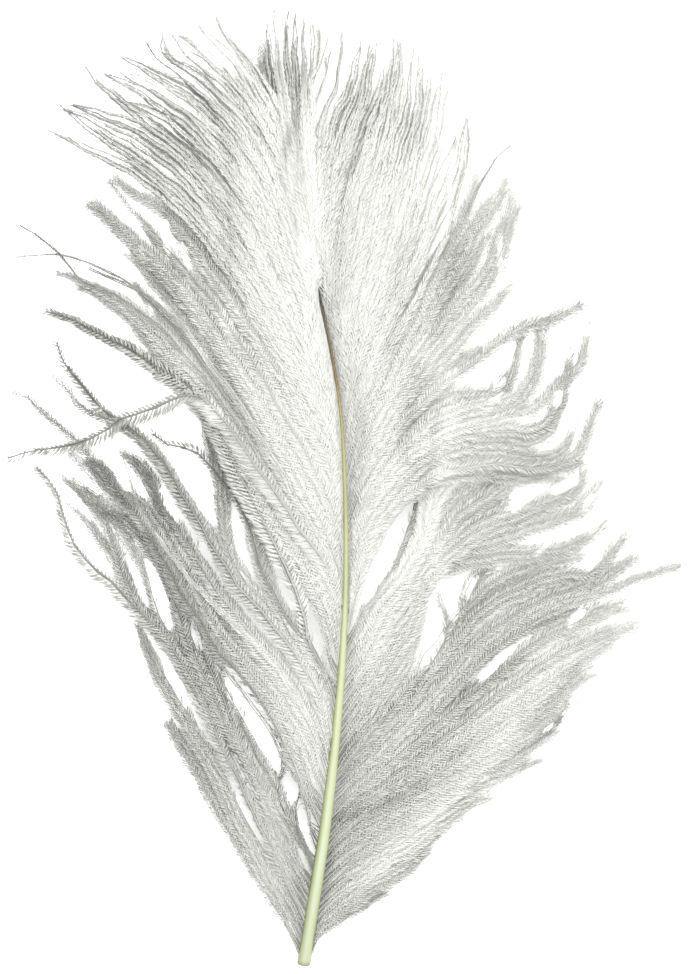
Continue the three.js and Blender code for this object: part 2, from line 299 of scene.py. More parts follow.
# %% Openings
OPENINGS = [
    # left side, from the butt up
    [
        (-99.5, -81), (-94.5, -91), (-91, -97), (-87.5, -104), (-85, -111), (-86, -116), (-91, -108),
        (-97, -97)],
    [(-64, -147), (-59, -153), (-53, -165), (-48, -176), (-44, -189), (-48, -184), (-55, -172), (-60, -161)],
    [
        (-64.5, -132), (-61, -136), (-57, -142), (-51, -152), (-46, -164), (-50, -161), (-56, -151),
        (-62, -139)],
    [
        (-65, -90), (-65, -107), (-60, -115), (-51.5, -128), (-43, -140), (-36.5, -150), (-35, -144),
        (-35.5, -131), (-43.5, -116), (-52, -103), (-62.5, -91)],
    [(-33, -150), (-30.5, -145), (-27, -151), (-26, -158), (-28, -163), (-31, -158)],
    [(-26, -160), (-23, -164), (-21, -175), (-20.5, -187), (-23, -182), (-26, -175), (-28, -168)],
    [
        (-38, -26.5), (-32, -36), (-30, -40), (-28.3, -54), (-28, -66.5), (-32, -58.5), (-35, -53),
        (-37.5, -39)],
    [(-35, -61), (-32, -65.5), (-29, -72.5), (-26.5, -79.5), (-30.5, -77), (-34, -68)],
    [(-21, -60.5), (-15.6, -71), (-13.8, -79), (-14.5, -93), (-19, -87.5), (-22.5, -74.5)],
    [(-108, -35), (-102, -41), (-95, -57), (-93.5, -74), (-98, -71), (-104, -53)],
    [(-83.5, -21.5), (-78.5, -22.5), (-71.5, -35), (-71, -37.5), (-76, -34.5), (-80.5, -29.5)],
    [(-79.5, -42.5), (-74, -46), (-70.5, -53), (-75, -50.5)],
    [(-84, -67), (-80.5, -69), (-77.5, -77), (-76.8, -84), (-81.5, -84), (-82.5, -77)],
    [(-102.5, 4), (-97, -.5), (-92.5, -5), (-89, -16.5), (-92.5, -15.5), (-99.5, -5)],
    [(-97, 22.5), (-93.5, 23), (-84.5, 20.5), (-76.5, 9), (-71.5, -3), (-69.5, -19), (-77, -10), (-87.5, 4)],
    [(-126, 15.5), (-120, -.5), (-114.5, -.5), (-118, 12), (-120.5, 15.5)],
    [(-117, 13.5), (-108.5, 2), (-106, -3), (-111, -3)],
    [(-58.5, -36), (-53.5, -44.5), (-52, -51.5), (-56, -45.5)],
    [(-112, 130), (-109, 130), (-107, 122), (-109, 122)],
    [(-99, 143), (-95, 143), (-94.5, 121), (-97, 121)],
    [(-89, 131), (-86, 131), (-84, 117), (-86, 117)],
    [(-106.5, 99), (-104, 98), (-102.5, 92.5), (-105, 93)],
    # right side, from the butt up
    [(61.5, -159), (68, -153.5), (76, -146), (74, -151.5), (69, -154.5)],
    [(100.5, -130), (104, -125), (109, -119), (108, -123), (104, -128)],
    [
        (33, -4.5), (34, -12.5), (28, -26.5), (21, -42.5), (17, -49.5), (9.5, -60), (6.5, -58), (10, -41),
        (18, -24), (26, -12.5)],
    [
        (44.5, -61.5), (49, -69.5), (50.5, -79.5), (46, -85.5), (39, -97.5), (33, -107.5), (37.5, -97),
        (40, -79.5)],
    [(41, -54.5), (44.5, -59), (42, -62.5), (40, -59)],
    [(50.5, -55.5), (55, -54), (59.5, -69.5), (56, -72), (52.5, -64.5)],
    [(63, -48.5), (69, -43.5), (65.5, -52), (63.5, -58), (61.5, -56.5)],
    [(46, -47), (50, -44), (50, -50), (47, -50)],
    [(89, -79.5), (87.5, -83.5), (80.5, -90.5), (67.5, -104), (69, -97), (74.5, -90), (82, -83.5)],
    [(87, 0), (94, 1), (103, 0), (96, -4), (91, -9), (86, -12.5), (86, -5)],
    [(122.5, -59.5), (125, -64), (116, -75), (116, -68.5)],
    [(137, -23.5), (132.5, -37.5), (126, -43), (122.5, -38.5), (132.5, -29)],
    [(105, 0), (113, 5), (121, 8), (122, 4), (109, -2)],
    [(125, -11), (129.5, -2.5), (127, 0), (122.5, -11)],
    [(107, -27), (99, -36), (97, -34), (102, -29)],
    [(76.5, 60), (83, 60), (83, 55), (80.5, 49), (77, 43.5), (69, 37), (70, 41), (75, 51.5)],
    [(79, 62), (84, 62), (87, 68), (88, 78), (80, 76), (78, 68)],
    [(96, 73), (96, 82), (97.5, 82), (97.5, 73)],
    [(108, 44), (108, 53), (113, 53), (112, 44)],
    [(71.3, 122), (71.3, 137), (72.3, 137), (72.3, 122)],
    [(78.5, 111), (78.5, 137), (80.5, 137), (80.5, 111)],
    # the crown
    [(51, 145), (53, 145), (56, 178), (54.5, 180), (52, 165)],
    [(-20, 214), (-18, 207), (-12, 219), (-13, 226)],
    [(-49.5, 222), (-47, 240), (-56, 236), (-53, 228)],
]
openings = [np.array(outline, float) for outline in OPENINGS]
opening_boxes = np.array([[*outline.min(axis=0), *outline.max(axis=0)] for outline in openings])
print(len(openings), "openings")

# %% Barbs part round an opening
FARTHEST_MOVE = 4.8
MOVE_STEP = 0.4
SMOOTHED_OVER = 9  # points of a barb
SHAFT_MARGIN = 0.25  # how far barbules stay from the side of the shaft's back
FREE_AT_END = 7  # the length at the shaft's end that barbules may cross


def inside_outline(points, outline):
    """Which points lie inside an outline: a line from them to the right crosses it an odd number of times."""
    x, y = points[:, :1], points[:, 1:2]
    ax, ay = outline.T
    bx, by = np.roll(outline, -1, axis=0).T
    crosses = (ay > y) != (by > y)
    at = ax + (y - ay) * (bx - ax) / np.where(by == ay, 1e-9, by - ay)
    return (crosses & (x < at)).sum(axis=1) % 2 == 1


def in_boxes(points):
    """Which points lie in the box round each opening, a quick test before the exact one."""
    low_x, low_y, high_x, high_y = opening_boxes.T
    x, y = points[:, :1], points[:, 1:2]
    return (x > low_x) & (x < high_x) & (y > low_y) & (y < high_y)


def in_opening(points):
    near = in_boxes(points)
    found = np.zeros(len(points), bool)
    for k in np.flatnonzero(near.any(axis=0)):
        some = np.flatnonzero(near[:, k])
        found[some] |= inside_outline(points[some], openings[k])
    return found


def past_shaft(points, side):
    """Which points lie on the shaft's back, or beyond it, for a barb that grows on one side."""
    shaft_x, _, shaft_width = shaft_at(points[:, 1])
    across = side * (points[:, 0] - shaft_x) < 0.5 * shaft_width + SHAFT_MARGIN
    return across & (points[:, 1] < SHAFT_END_Y - FREE_AT_END)


def parted(plan, aside):
    """How far to move each point of a barb sideways, so that it runs along the rim of an opening."""
    moves = np.append(np.arange(MOVE_STEP, FARTHEST_MOVE, MOVE_STEP), 0)
    push = np.zeros(len(plan))
    for k in np.flatnonzero(in_boxes(plan).any(axis=0)):
        within = np.flatnonzero(inside_outline(plan, openings[k]))
        if len(within) == 0:
            continue
        ways = []
        for way in (-1, 1):
            moved = plan[within][:, None] + way * aside[within][:, None] * moves[:, None]
            still = inside_outline(moved.reshape(-1, 2), openings[k]).reshape(len(within), -1)
            still[:, -1] = False  # the last move is 0, for a point that no move brings out
            ways.append(way * moves[still.argmin(axis=1)])
        push[within] = min(ways, key=lambda pushes: np.abs(pushes).max())
    window = np.hanning(SMOOTHED_OVER)
    return 1.15 * np.convolve(push, window / window.sum(), "same")


# %% [markdown]
# ## Creases and streaks
#
# Where barbs part a little, the shade that falls on the deeper ones is painted into their tone as a dark
# crease. Where a few ride on top of the rest, the light that they catch is painted into their tone as a
# pale streak. Each row is a half-width, how much darker or lighter the barbs are painted along it, and a
# line in plan.

# %% Painted shade in creases and painted highlights in streaks
PAINTED_SHADE_AND_HIGHLIGHT_LINES = [
    # the left side
    (1.5, -.2, [
        (-10.5, -100), (-11, -85), (-15.5, -63), (-25, -45.5), (-36, -22.5), (-46, -4.5), (-51.5, 9)]),
    (3, -.2, [(-61, 150), (-61, 128), (-60, 108)]),
    (3, -.2, [(-92.5, -22.5), (-99.5, -8.5), (-109, 7.5), (-113.5, 15.5)]),
    (1.3, .45, [(-63, -63), (-80, -43.5), (-98, -26), (-113.5, -13), (-129.5, -5)]),
    (1.5, .3, [(-34, -100.5), (-39, -92.5), (-49, -79.5), (-60, -64.5)]),
    (1.3, .5, [(-93.5, 158), (-88, 147), (-83, 135)]),
    (1.3, .5, [(-87.5, 167), (-78, 157), (-72, 145), (-66.5, 131)]),
    (1.4, .5, [(-79, 120), (-69, 101), (-64, 88), (-61, 77)]),
    (1.3, .45, [(-86.5, 107.5), (-80, 96), (-76, 84), (-72, 70)]),
    (1.3, .4, [(-92, 97), (-84, 84), (-76, 70), (-68, 55)]),
    (1.3, .4, [(-86, 70), (-78, 58), (-70, 43), (-60, 25)]),
    # the right side
    (1.8, -.4, [(-9, -174), (12, -167), (29, -159), (42, -149), (60, -134)]),
    (2, -.35, [(50, -167), (62, -159)]),
    (3.2, .15, [(12, -202), (20, -193), (33, -182), (46, -166), (70, -145), (86, -122)]),
    (2.2, .25, [(38, -152), (54, -132), (65, -125), (86, -110), (100, -99)]),
    (1.6, -.3, [(-4, -138), (9, -127), (28, -112), (36, -102)]),
    (1.6, -.3, [(37, -157), (51, -150), (66, -142)]),
    (1.6, -.35, [(64, -157), (79, -144), (98, -133), (115, -116)]),
    (2, -.3, [(90, -127), (105, -112), (120, -93)]),
    (2.5, -.3, [(54, -112), (68, -102), (86, -91), (98, -89)]),
    (2.5, -.35, [(45, 38), (41, 11), (36, -5), (34, -20)]),
    (5, .25, [(43, -45), (44, -20), (47, 20), (52, 60)]),
    (4, -.3, [(4, -10), (6, 25), (3, 60)]),
    (5, -.3, [(28, 15), (30, 40), (34, 62)]),
    (5, -.3, [(-6, 147), (-6, 125), (-4, 96)]),
    (4, -.18, [(26, 130), (24, 100), (20, 70)]),
    (6, -.25, [(56, 122), (50, 98), (44, 80)]),
    # the crown
    (7, .22, [(-50, 165), (-48, 140), (-42, 112), (-36, 90)]),
    (5, .18, [(-42, 205), (-40, 185), (-37, 150)]),
    (2, -.38, [(-61, 172), (-64, 181), (-68, 193), (-74, 203), (-81, 212), (-95, 226), (-107, 235)]),
    (2.6, -.34, [(-28, 191), (-30, 182), (-34, 172), (-36, 162)]),
    (2.6, -.22, [(-28, 214), (-27, 195)]),
    (2.5, -.35, [(-28, 143), (-25, 130)]),
    (2.5, -.22, [(13, 201), (9, 187)]),
    (2, -.22, [(32, 201), (29, 170)]),
    (2, -.3, [(33, 148), (32, 139)]),
    (2, -.2, [(17, 172), (13.5, 159.5)]),
    (2.5, -.22, [(4, 174), (-4, 165), (-11, 156)]),
    (2, -.22, [(36.5, 190), (37, 175)]),
    (2, -.3, [(-84, 186), (-93, 197), (-106, 205)]),
    (2, -.3, [(-76, 168), (-86, 181), (-99, 190)]),
    (1.5, .35, [(-50, 172), (-54, 188), (-62, 206), (-72, 222)]),
    (1.5, .35, [(-66, 172), (-74, 189), (-86, 203), (-100, 213)]),
]


def drawn_out(points, step=1.5):
    """Points at even steps along a broken line."""
    points = np.array(points, float)
    lengths = lengths_along(points)
    even = np.arange(0, lengths[-1], step)
    return np.stack([np.interp(even, lengths, points[:, k]) for k in (0, 1)], axis=1)


painted_light_lines = [(width, change, drawn_out(line)) for width, change, line in PAINTED_SHADE_AND_HIGHLIGHT_LINES]
print(len(painted_light_lines), "creases and streaks")


def painted_light_change(plan):
    """How much the painted shade of the creases and the painted highlights of the streaks change the tone at
    points in plan.
    """
    change = np.zeros(len(plan))
    for width, strength, line in painted_light_lines:
        low, high = line.min(axis=0) - 2 * width, line.max(axis=0) + 2 * width
        some = np.flatnonzero(((plan > low) & (plan < high)).all(axis=1))
        if len(some):
            away = np.linalg.norm(plan[some][:, None] - line, axis=2).min(axis=1)
            change[some] += strength * np.exp(-((away / width) ** 2))
    return change


# %% [markdown]
# ## A barb's stem
#
# A barb starts on the side of the shaft, runs along its tuft, and ends near the tuft's tip. Its own stem is
# so thin that a three-sided taper is enough: nobody sees its facets. All the strips of a lock are collected
# first, and become one mesh at the end.

# %% A barb's stem
STEM_RADIUS_ROOT = 0.30
STEM_RADIUS_TIP = 0.14
STEM_SIDES = 3
STEM_STEP = 9.0  # between rings
STEM_LIFT = 0.2  # over the roots of its barbules


class Strips:
    """Collects the points and faces of many strips."""

    def __init__(self):
        self.points, self.faces, self.tones, self.count = [], [], [], 0

    def add(self, points, faces, tones):
        self.points.append(points)
        self.faces.append(faces + self.count)
        self.tones.append(tones)
        self.count += len(points)

    def arrays(self):
        return np.concatenate(self.points), np.concatenate(self.faces), np.concatenate(self.tones)


def add_stem(strips, line, tones, thickness):
    """A thin three-sided taper along the barb."""
    count = max(6, int(lengths_along(line)[-1] / STEM_STEP))
    picks = np.linspace(0, len(line) - 1, count).round().astype(int)
    centres = line[picks] + (0, 0, STEM_LIFT)
    share = np.linspace(0, 1, count)[:, None]
    radius = (STEM_RADIUS_ROOT * (1 - share) + STEM_RADIUS_TIP * share) * thickness
    frame_there = aside_and_up(unit(np.gradient(centres, axis=0)))
    points, faces = tube(centres, *frame_there, radius, STEM_SIDES, math.pi / 2)
    tip = np.array([[0, 1, 2]]) + (count - 1) * STEM_SIDES
    strips.add(points, np.concatenate([faces, tip]), np.repeat(tones[picks], STEM_SIDES))


# %% [markdown]
# ## Where barbules grow
#
# Barbules grow in two rows, one on each side of the barb. Beside the shaft they are sparse and have barely
# grown, so that the barbs show there as fine parallel lines. Along the barb they cling in small bunches, and
# each bunch has a length and a lean of its own. The barb also rolls a little about its own line, which shows
# the rows broader here and narrower there, as on a real plume.


# %% Where barbules grow
SPARSE_TO, DENSE_FROM = 5, 40  # how far from the shaft they stand at half and at full density
CLING_ON_TOP, CLING_BELOW = 0.5, 0.1  # how far barbules move toward the heart of their bunch, as a share
NEWLY_GROWN = 0.35  # how long they are beside the shaft, as a share
GROWN_AT_BUTT, GROWN_AT_END = (4, 36), (1, 10)  # where they start to be longer and where they are full
ROLLS = (12, 60), (10, 11)  # the barb's rolls, in degrees, and how long each is
BUNCH_ROLL = 6
MOOD_SHARE = 0.12  # how much a bunch's mood changes its length and sweep
FLAT_ON_TOP = 0.4  # how much of its roll a barb on top keeps


def place_barbules(lengths, look, on_top):
    """Places of two rows of barbules along a barb, and what the small bunches that they cling in are like."""
    density = (0.5 + 0.5 * smoothstep(SPARSE_TO, DENSE_FROM, lengths)) / look["pitch"]
    steps = 0.5 * (density[1:] + density[:-1]) * np.diff(lengths)
    numbers = np.concatenate([[0], np.cumsum(steps)])
    rows = max(4, int(numbers[-1]))
    places = np.interp(np.repeat(np.arange(rows), 2) + rng.uniform(0.2, 0.8, 2 * rows), numbers, lengths)
    right = np.tile([False, True], rows)
    in_bunches = places / look["bunch"] + 0.5 * right + rng.uniform()
    bunch = 2 * np.floor(in_bunches).astype(int) + right
    off_centre = in_bunches - np.floor(in_bunches) - 0.5
    mood, temper = rng.normal(0, 1, (2, bunch.max() + 1))[:, bunch]
    gathered = off_centre * look["bunch"] * (CLING_ON_TOP if on_top else CLING_BELOW)
    places = np.clip(places - gathered, 0, lengths[-1])
    return places, right, off_centre, mood, temper


def barb_frames(line, lengths, places, temper, on_top):
    """Where barbules start, and which way is along the barb, aside and up there. The barb rolls a little."""

    def read(values):
        return np.stack([np.interp(places, lengths, values[:, k]) for k in range(3)], axis=1)

    along = unit(read(unit(np.gradient(line, axis=0))))
    aside, up = aside_and_up(along)
    slow, quick = [degrees * wave(places, spacing) for degrees, spacing in ROLLS]
    roll = ((FLAT_ON_TOP if on_top else 1.0) * (slow + quick + BUNCH_ROLL * temper))[:, None] * math.pi / 180
    rolled_aside = aside * np.cos(roll) + up * np.sin(roll)
    return read(line), along, rolled_aside, up * np.cos(roll) - aside * np.sin(roll)


def barbule_lengths(look, fringe, age, places, right, mood, end_part):
    """Barbules are short beside the shaft, full in the middle and shorter again at the barb's tip."""
    length = look["length"] * np.where(right, fringe[1], fringe[0])
    start, full = [low + (high - low) * age for low, high in zip(GROWN_AT_BUTT, GROWN_AT_END)]
    grown = NEWLY_GROWN + (1 - NEWLY_GROWN) * smoothstep(start, full, places)
    length = length * grown * (1 - (1 - look["tip"]) * end_part)
    return (length * (1 + MOOD_SHARE * mood) * rng.uniform(0.82, 1.06, len(places)))[:, None]


# %% [markdown]
# ## The two rows of barbules
#
# A barbule is a narrow kite of two triangles: a root, two middle corners and a tip. It is swept forward and
# bends a little more forward at its middle. That is the least that still has a width and a bend, which
# matters when there are hundreds of thousands. A few bunches go astray and cross an opening, and the rest
# stop at its rim.

# %% The two rows of barbules
BARBULE_WIDTH = 0.36
BEND = 0.75  # what is left of the sweep past the barbule's middle
LIFT, HEART_LIFT, DROOP = 0.02, 0.12, 0.12  # how much barbules rise, more in a bunch's heart, and droop again
STRAY_DEGREES, STRAY_LIFT, STRAY_TWIST = 3, 0.05, 0.35
ASTRAY = 1.6  # the mood from which a bunch crosses an opening
STUB = 0.2  # what is left of the outer half of a barbule that stops at a rim
# The first of these paints light in the heart of a bunch and shade at its edges; the other two are tone that
# differs at random.
BUNCH_LIGHT_AND_SHADE, MOOD_TONE, STRAY_TONE = 0.34, 0.06, 0.03
TIP_SHADE = 0.22  # how much darker a barbule's thin tip is, less where it is white
LOWEST = 0.1  # over the table
KITE = np.array([(0, 2, 1), (1, 2, 3)])


def barbule_corners(look, base, directions, right, length, sweep, lift, off_centre, on_top):
    """The middle, the tip and the half-width, as a vector, of every barbule."""
    along, aside, up = directions
    side = np.where(right, 1.0, -1.0)[:, None]
    first = unit(np.cos(sweep) * along + np.sin(sweep) * side * aside + lift * up)
    bend = sweep * BEND
    second = unit(np.cos(bend) * along + np.sin(bend) * side * aside + (lift - DROOP) * up)
    twist = rng.normal(0, STRAY_TWIST, len(base))[:, None]
    flat = unit(np.cross(first, up))
    flat = flat * np.cos(twist) + up * np.sin(twist)
    half = BARBULE_WIDTH / 2 * (0.6 + 0.4 * look["thick"]) * rng.uniform(0.8, 1.15, len(base))[:, None]
    pull = -off_centre[:, None] * look["bunch"] * along * (0.3 if on_top else 0.6)
    middle = base + first * length * 0.5 + pull * 0.4
    return middle, middle + second * length * 0.5 + pull * 0.6, flat * half


def barbule_tones(own, kind, lead, share, heart, mood):
    """Painted light and shade: a leader is lighter than the barbs in its shade under it, and the heart of a
    bunch lighter than its edges.
    """
    contrast = 1.25 - np.clip(own, 0, 1)
    # painted light on the leaders on top, painted shade on the barbs under them
    layer_light_and_shade = (0, 0.27, -0.27 if kind == "needle" else -0.21)[lead] * (1 - 0.8 * smoothstep(0.7, 1, share))
    stray = rng.normal(0, STRAY_TONE, len(own))
    return own + contrast * (layer_light_and_shade + BUNCH_LIGHT_AND_SHADE * (heart - 0.5) + MOOD_TONE * mood + stray)


def stop_at_rims(middle, end, mood, side_of_shaft):
    """Cuts short the barbules that would cross an opening or the shaft, and says which grow at all."""
    astray = mood > ASTRAY
    stopped = (in_opening(end) & ~astray) | past_shaft(end, side_of_shaft)
    grow = (~in_opening(middle) | astray) & ~past_shaft(middle, side_of_shaft)
    return np.where(stopped[:, None], middle + (end - middle) * STUB, end), grow


# %% One barb's barbules
def add_kites(strips, points, own):
    """points: the four corners of each kite. own: its tone."""
    shades = np.stack([own - 0.04, own, own, own - TIP_SHADE * (1 - own)], axis=1)
    faces = (np.arange(len(points))[:, None, None] * 4 + KITE).reshape(-1, 3)
    strips.add(points.reshape(-1, 3), faces, np.clip(shades, 0, 1).ravel())


def add_barbules(strips, line, tones, kind, fringe, lead, side_of_shaft):
    """Two rows of kites along a barb. lead: 1 for a leader, 0 for a lone barb and -1 for one underneath."""
    look, on_top, lengths = BARB_KINDS[kind], lead >= 0, lengths_along(line)
    places, right, off_centre, mood, temper = place_barbules(lengths, look, on_top)
    base, *directions = barb_frames(line, lengths, places, temper, on_top)
    share = places / lengths[-1]
    heart = 1 - 2 * np.abs(off_centre)
    end_part = smoothstep(look["fade_from"], 1, share)
    age = np.clip((line[0, 1] - BUTT_Y) / (SHAFT_END_Y - BUTT_Y), 0, 1)
    length = barbule_lengths(look, fringe, age, places, right, mood, end_part)
    sweep = look["angle"] + (look["tip_angle"] - look["angle"]) * (end_part + MOOD_SHARE * mood)
    sweep = (sweep + rng.normal(0, STRAY_DEGREES, len(places)))[:, None] * math.pi / 180
    lift = LIFT + HEART_LIFT * heart + 0.06 * temper + rng.normal(0, STRAY_LIFT, len(places))
    lean = (sweep, lift[:, None], off_centre, on_top)
    middle, end, half = barbule_corners(look, base, directions, right, length, *lean)
    end, grow = stop_at_rims(middle, end, mood, side_of_shaft)
    points = np.stack([base, middle - half, middle + half, end], axis=1)[grow]
    points[..., 2] = np.maximum(points[..., 2], LOWEST)
    own = barbule_tones(np.interp(places, lengths, tones), kind, lead, share, heart, mood)
    add_kites(strips, points, np.clip(own, 0, 1)[grow])


# %% [markdown]
# ## A tuft
#
# Barbs that leave the shaft side by side cling together and end in one tip, as wet hair does. Such a tuft is
# the brush that this plume is painted with: a stretch of shaft, a line in plan with a half-width at each
# point, a kind of barb, and how light it looks from its root to its tip. The barbs of a tuft share its line,
# spread over its width, and stop at slightly different places. Some of them, the leaders, ride on top.

# %% The way of one barb
LANDING = 0.8  # the share of a barb's length where it comes down on the table
RISE_AT_BUTT, RISE_AT_END = 1, 12  # how far a barb arches over its way down to the table
PUFF_AT_BUTT, PUFF_AT_END = 2.5, 12  # how thick the barbs lie over each other in the middle
BESIDE = 0.42  # how far from the shaft's middle a barb starts, as a share of the shaft's width
ROOF_SLOPE = 1.3  # how steeply a barb may climb away from the shaft's side


def middle_line(roots, line, side):
    """A tuft's line from the shaft outward, and the direction across it that points toward the butt."""
    heart = 0.5 * (roots[0] + roots[1])
    whole = np.concatenate([[[float(shaft_at(heart)[0]), heart]], line[:, :2]])
    along = unit(np.gradient(whole, axis=0))
    return heart, whole, np.stack([along[:, 1] * side, -along[:, 0] * side], axis=1)


def clear_of_shaft(plan, reach, side):
    """Moves a barb off the shaft's side, and says how high it may be there without hiding the shaft."""
    shaft_x, shaft_height, shaft_width = shaft_at(plan[:, 1])
    beside = BESIDE * shaft_width + (0.08 * shaft_width + 0.5) * smoothstep(0, 5, reach)
    past_end = smoothstep(SHAFT_END_Y - 14, SHAFT_END_Y, plan[:, 1])
    plan[:, 0] += side * np.maximum(beside - side * (plan[:, 0] - shaft_x), 0) * (1 - past_end)
    open_sky = smoothstep(SHAFT_END_Y - 26, SHAFT_END_Y + 26, plan[:, 1])
    roof = shaft_height + 0.6 + ROOF_SLOPE * np.abs(plan[:, 0] - shaft_x) + 30 * open_sky
    return plan, roof


def barb_height(share, root_height, age, layer):
    """Down from the shaft in an arch, then flat on the table, and as high in the lock as its layer says."""
    fall = np.minimum(1, share / LANDING)
    rise = RISE_AT_BUTT + (RISE_AT_END - RISE_AT_BUTT) * age
    puff = PUFF_AT_BUTT + (PUFF_AT_END - PUFF_AT_BUTT) * age
    underside = root_height * np.cos(fall * math.pi / 2) ** 2 + rise * np.sin(fall * math.pi)
    height = underside + layer * (1.2 + puff * np.sin(math.pi * np.clip(share, 0, 1) ** 0.8))
    height = root_height + (height - root_height) * smoothstep(0, 0.08, share)
    return height + (rng.normal(0, 0.5) * np.sin(share * math.pi * rng.uniform(1.5, 3)) + 0.5)


# %% The look of one barb
STRAY_SHARE = 0.05  # of barbs that cross an opening
LONE = 4  # a tuft with fewer barbs has no leaders


def barb_plan(guides, kind, reach, swing, side):
    """A barb's way in plan, round the openings and clear of the shaft, and how high it may be on that way."""
    plan = smooth_line(guides)
    aside = unit(np.gradient(plan, axis=0))[:, ::-1] * (1, -1)
    if kind != "loose" and rng.uniform() > STRAY_SHARE:
        plan = plan + aside * parted(plan, aside)[:, None]
    unsteady = (0.12 if kind == "needle" else 0.3) * wave(reach, 30) * smoothstep(0, 20, reach)
    return clear_of_shaft(plan + aside * (swing + unsteady)[:, None], reach, side)


def barb_layer(i, barbs, place, leaders, level):
    """Whether a barb leads, and how high it lies in its lock, from 0 for the bottom to 1 for the top."""
    lead = 0 if barbs < LONE else 1 if i % leaders == 1 else -1
    layer = 0.95 + 0.2 * place if lead >= 0 else rng.uniform(0.1, 0.7)
    if level is not None:
        layer = level + rng.uniform(-0.12, 0.12)
    return lead, layer


def barb_shades(curve, tones, share, reach, ramus, lead):
    """How light the barbules and the stem are along a barb. Near the shaft, stems under the leaders are
    painted darker, as shadow lines.
    """
    shade = np.interp(share[: len(curve)], np.linspace(0, 1, len(tones)), tones) + rng.normal(0, STRAY_TONE)
    # painted shade along the creases and painted highlights along the streaks
    shade += painted_light_change(curve[:, :2])
    near = 1 - smoothstep(10, 50, reach[: len(curve)])
    # A leader's stem is lighter and a lone barb's darker; near the shaft the others are painted darker, as
    # shade.
    stem_light_and_shade = (-0.10, 2 * ramus, 0.5 * ramus)[lead] - (0, 0.1, 0.4)[lead] * near
    return shade, np.clip(shade + stem_light_and_shade, 0, 1)


# %% A tuft of barbs
SPREAD = 0.25  # how far a barb strays from its place in the tuft
SWING, SWING_SPACING = 0.6, 36  # of the whole tuft


def add_tuft(strips, side, roots, barbs, tones, kind, line, level=None, fringe=(1, 1)):
    """side: -1 left, 1 right. roots: the two y that its first and last barb leave the shaft at."""
    line = np.array(line, float)
    heart, whole, outward = middle_line(roots, line, side)
    age = (heart - BUTT_Y) / (SHAFT_END_Y - BUTT_Y)
    share = np.linspace(0, 1, SAMPLES)
    reach = lengths_along(whole)[-1] * share
    swing = SWING * wave(reach, SWING_SPACING) * smoothstep(0, 20, reach)
    leaders, worn = (3, 0.22) if kind == "needle" else (4, 0.10)
    for i in range(barbs):
        place = (i + 0.5) / barbs + rng.uniform(-0.3, 0.3) / barbs
        root_y = roots[0] + (roots[1] - roots[0]) * place
        root_x, root_height, root_width = shaft_at(root_y)
        root = np.array([root_x + side * root_width * BESIDE, root_y])
        offset = (1 - 2 * place) * line[:, 2] + rng.normal(0, SPREAD, len(line))
        guides = np.concatenate([root[None], whole[1:] + outward[1:] * offset[:, None]])
        plan, roof = barb_plan(guides, kind, reach, swing, side)
        lead, layer = barb_layer(i, barbs, place, leaders, level)
        curve = np.column_stack([plan, np.clip(barb_height(share, root_height, age, layer), 0.5, roof)])
        end = 1 - (worn * rng.uniform(0, 1) ** 1.3 if i else 0)
        curve = curve[: max(8, round(SAMPLES * end))]
        shade, stem_shade = barb_shades(curve, tones, share, reach, BARB_KINDS[kind]["ramus"], lead)
        add_stem(strips, curve, stem_shade, BARB_KINDS[kind]["thick"])
        add_barbules(strips, curve, shade, kind, fringe, lead, side)
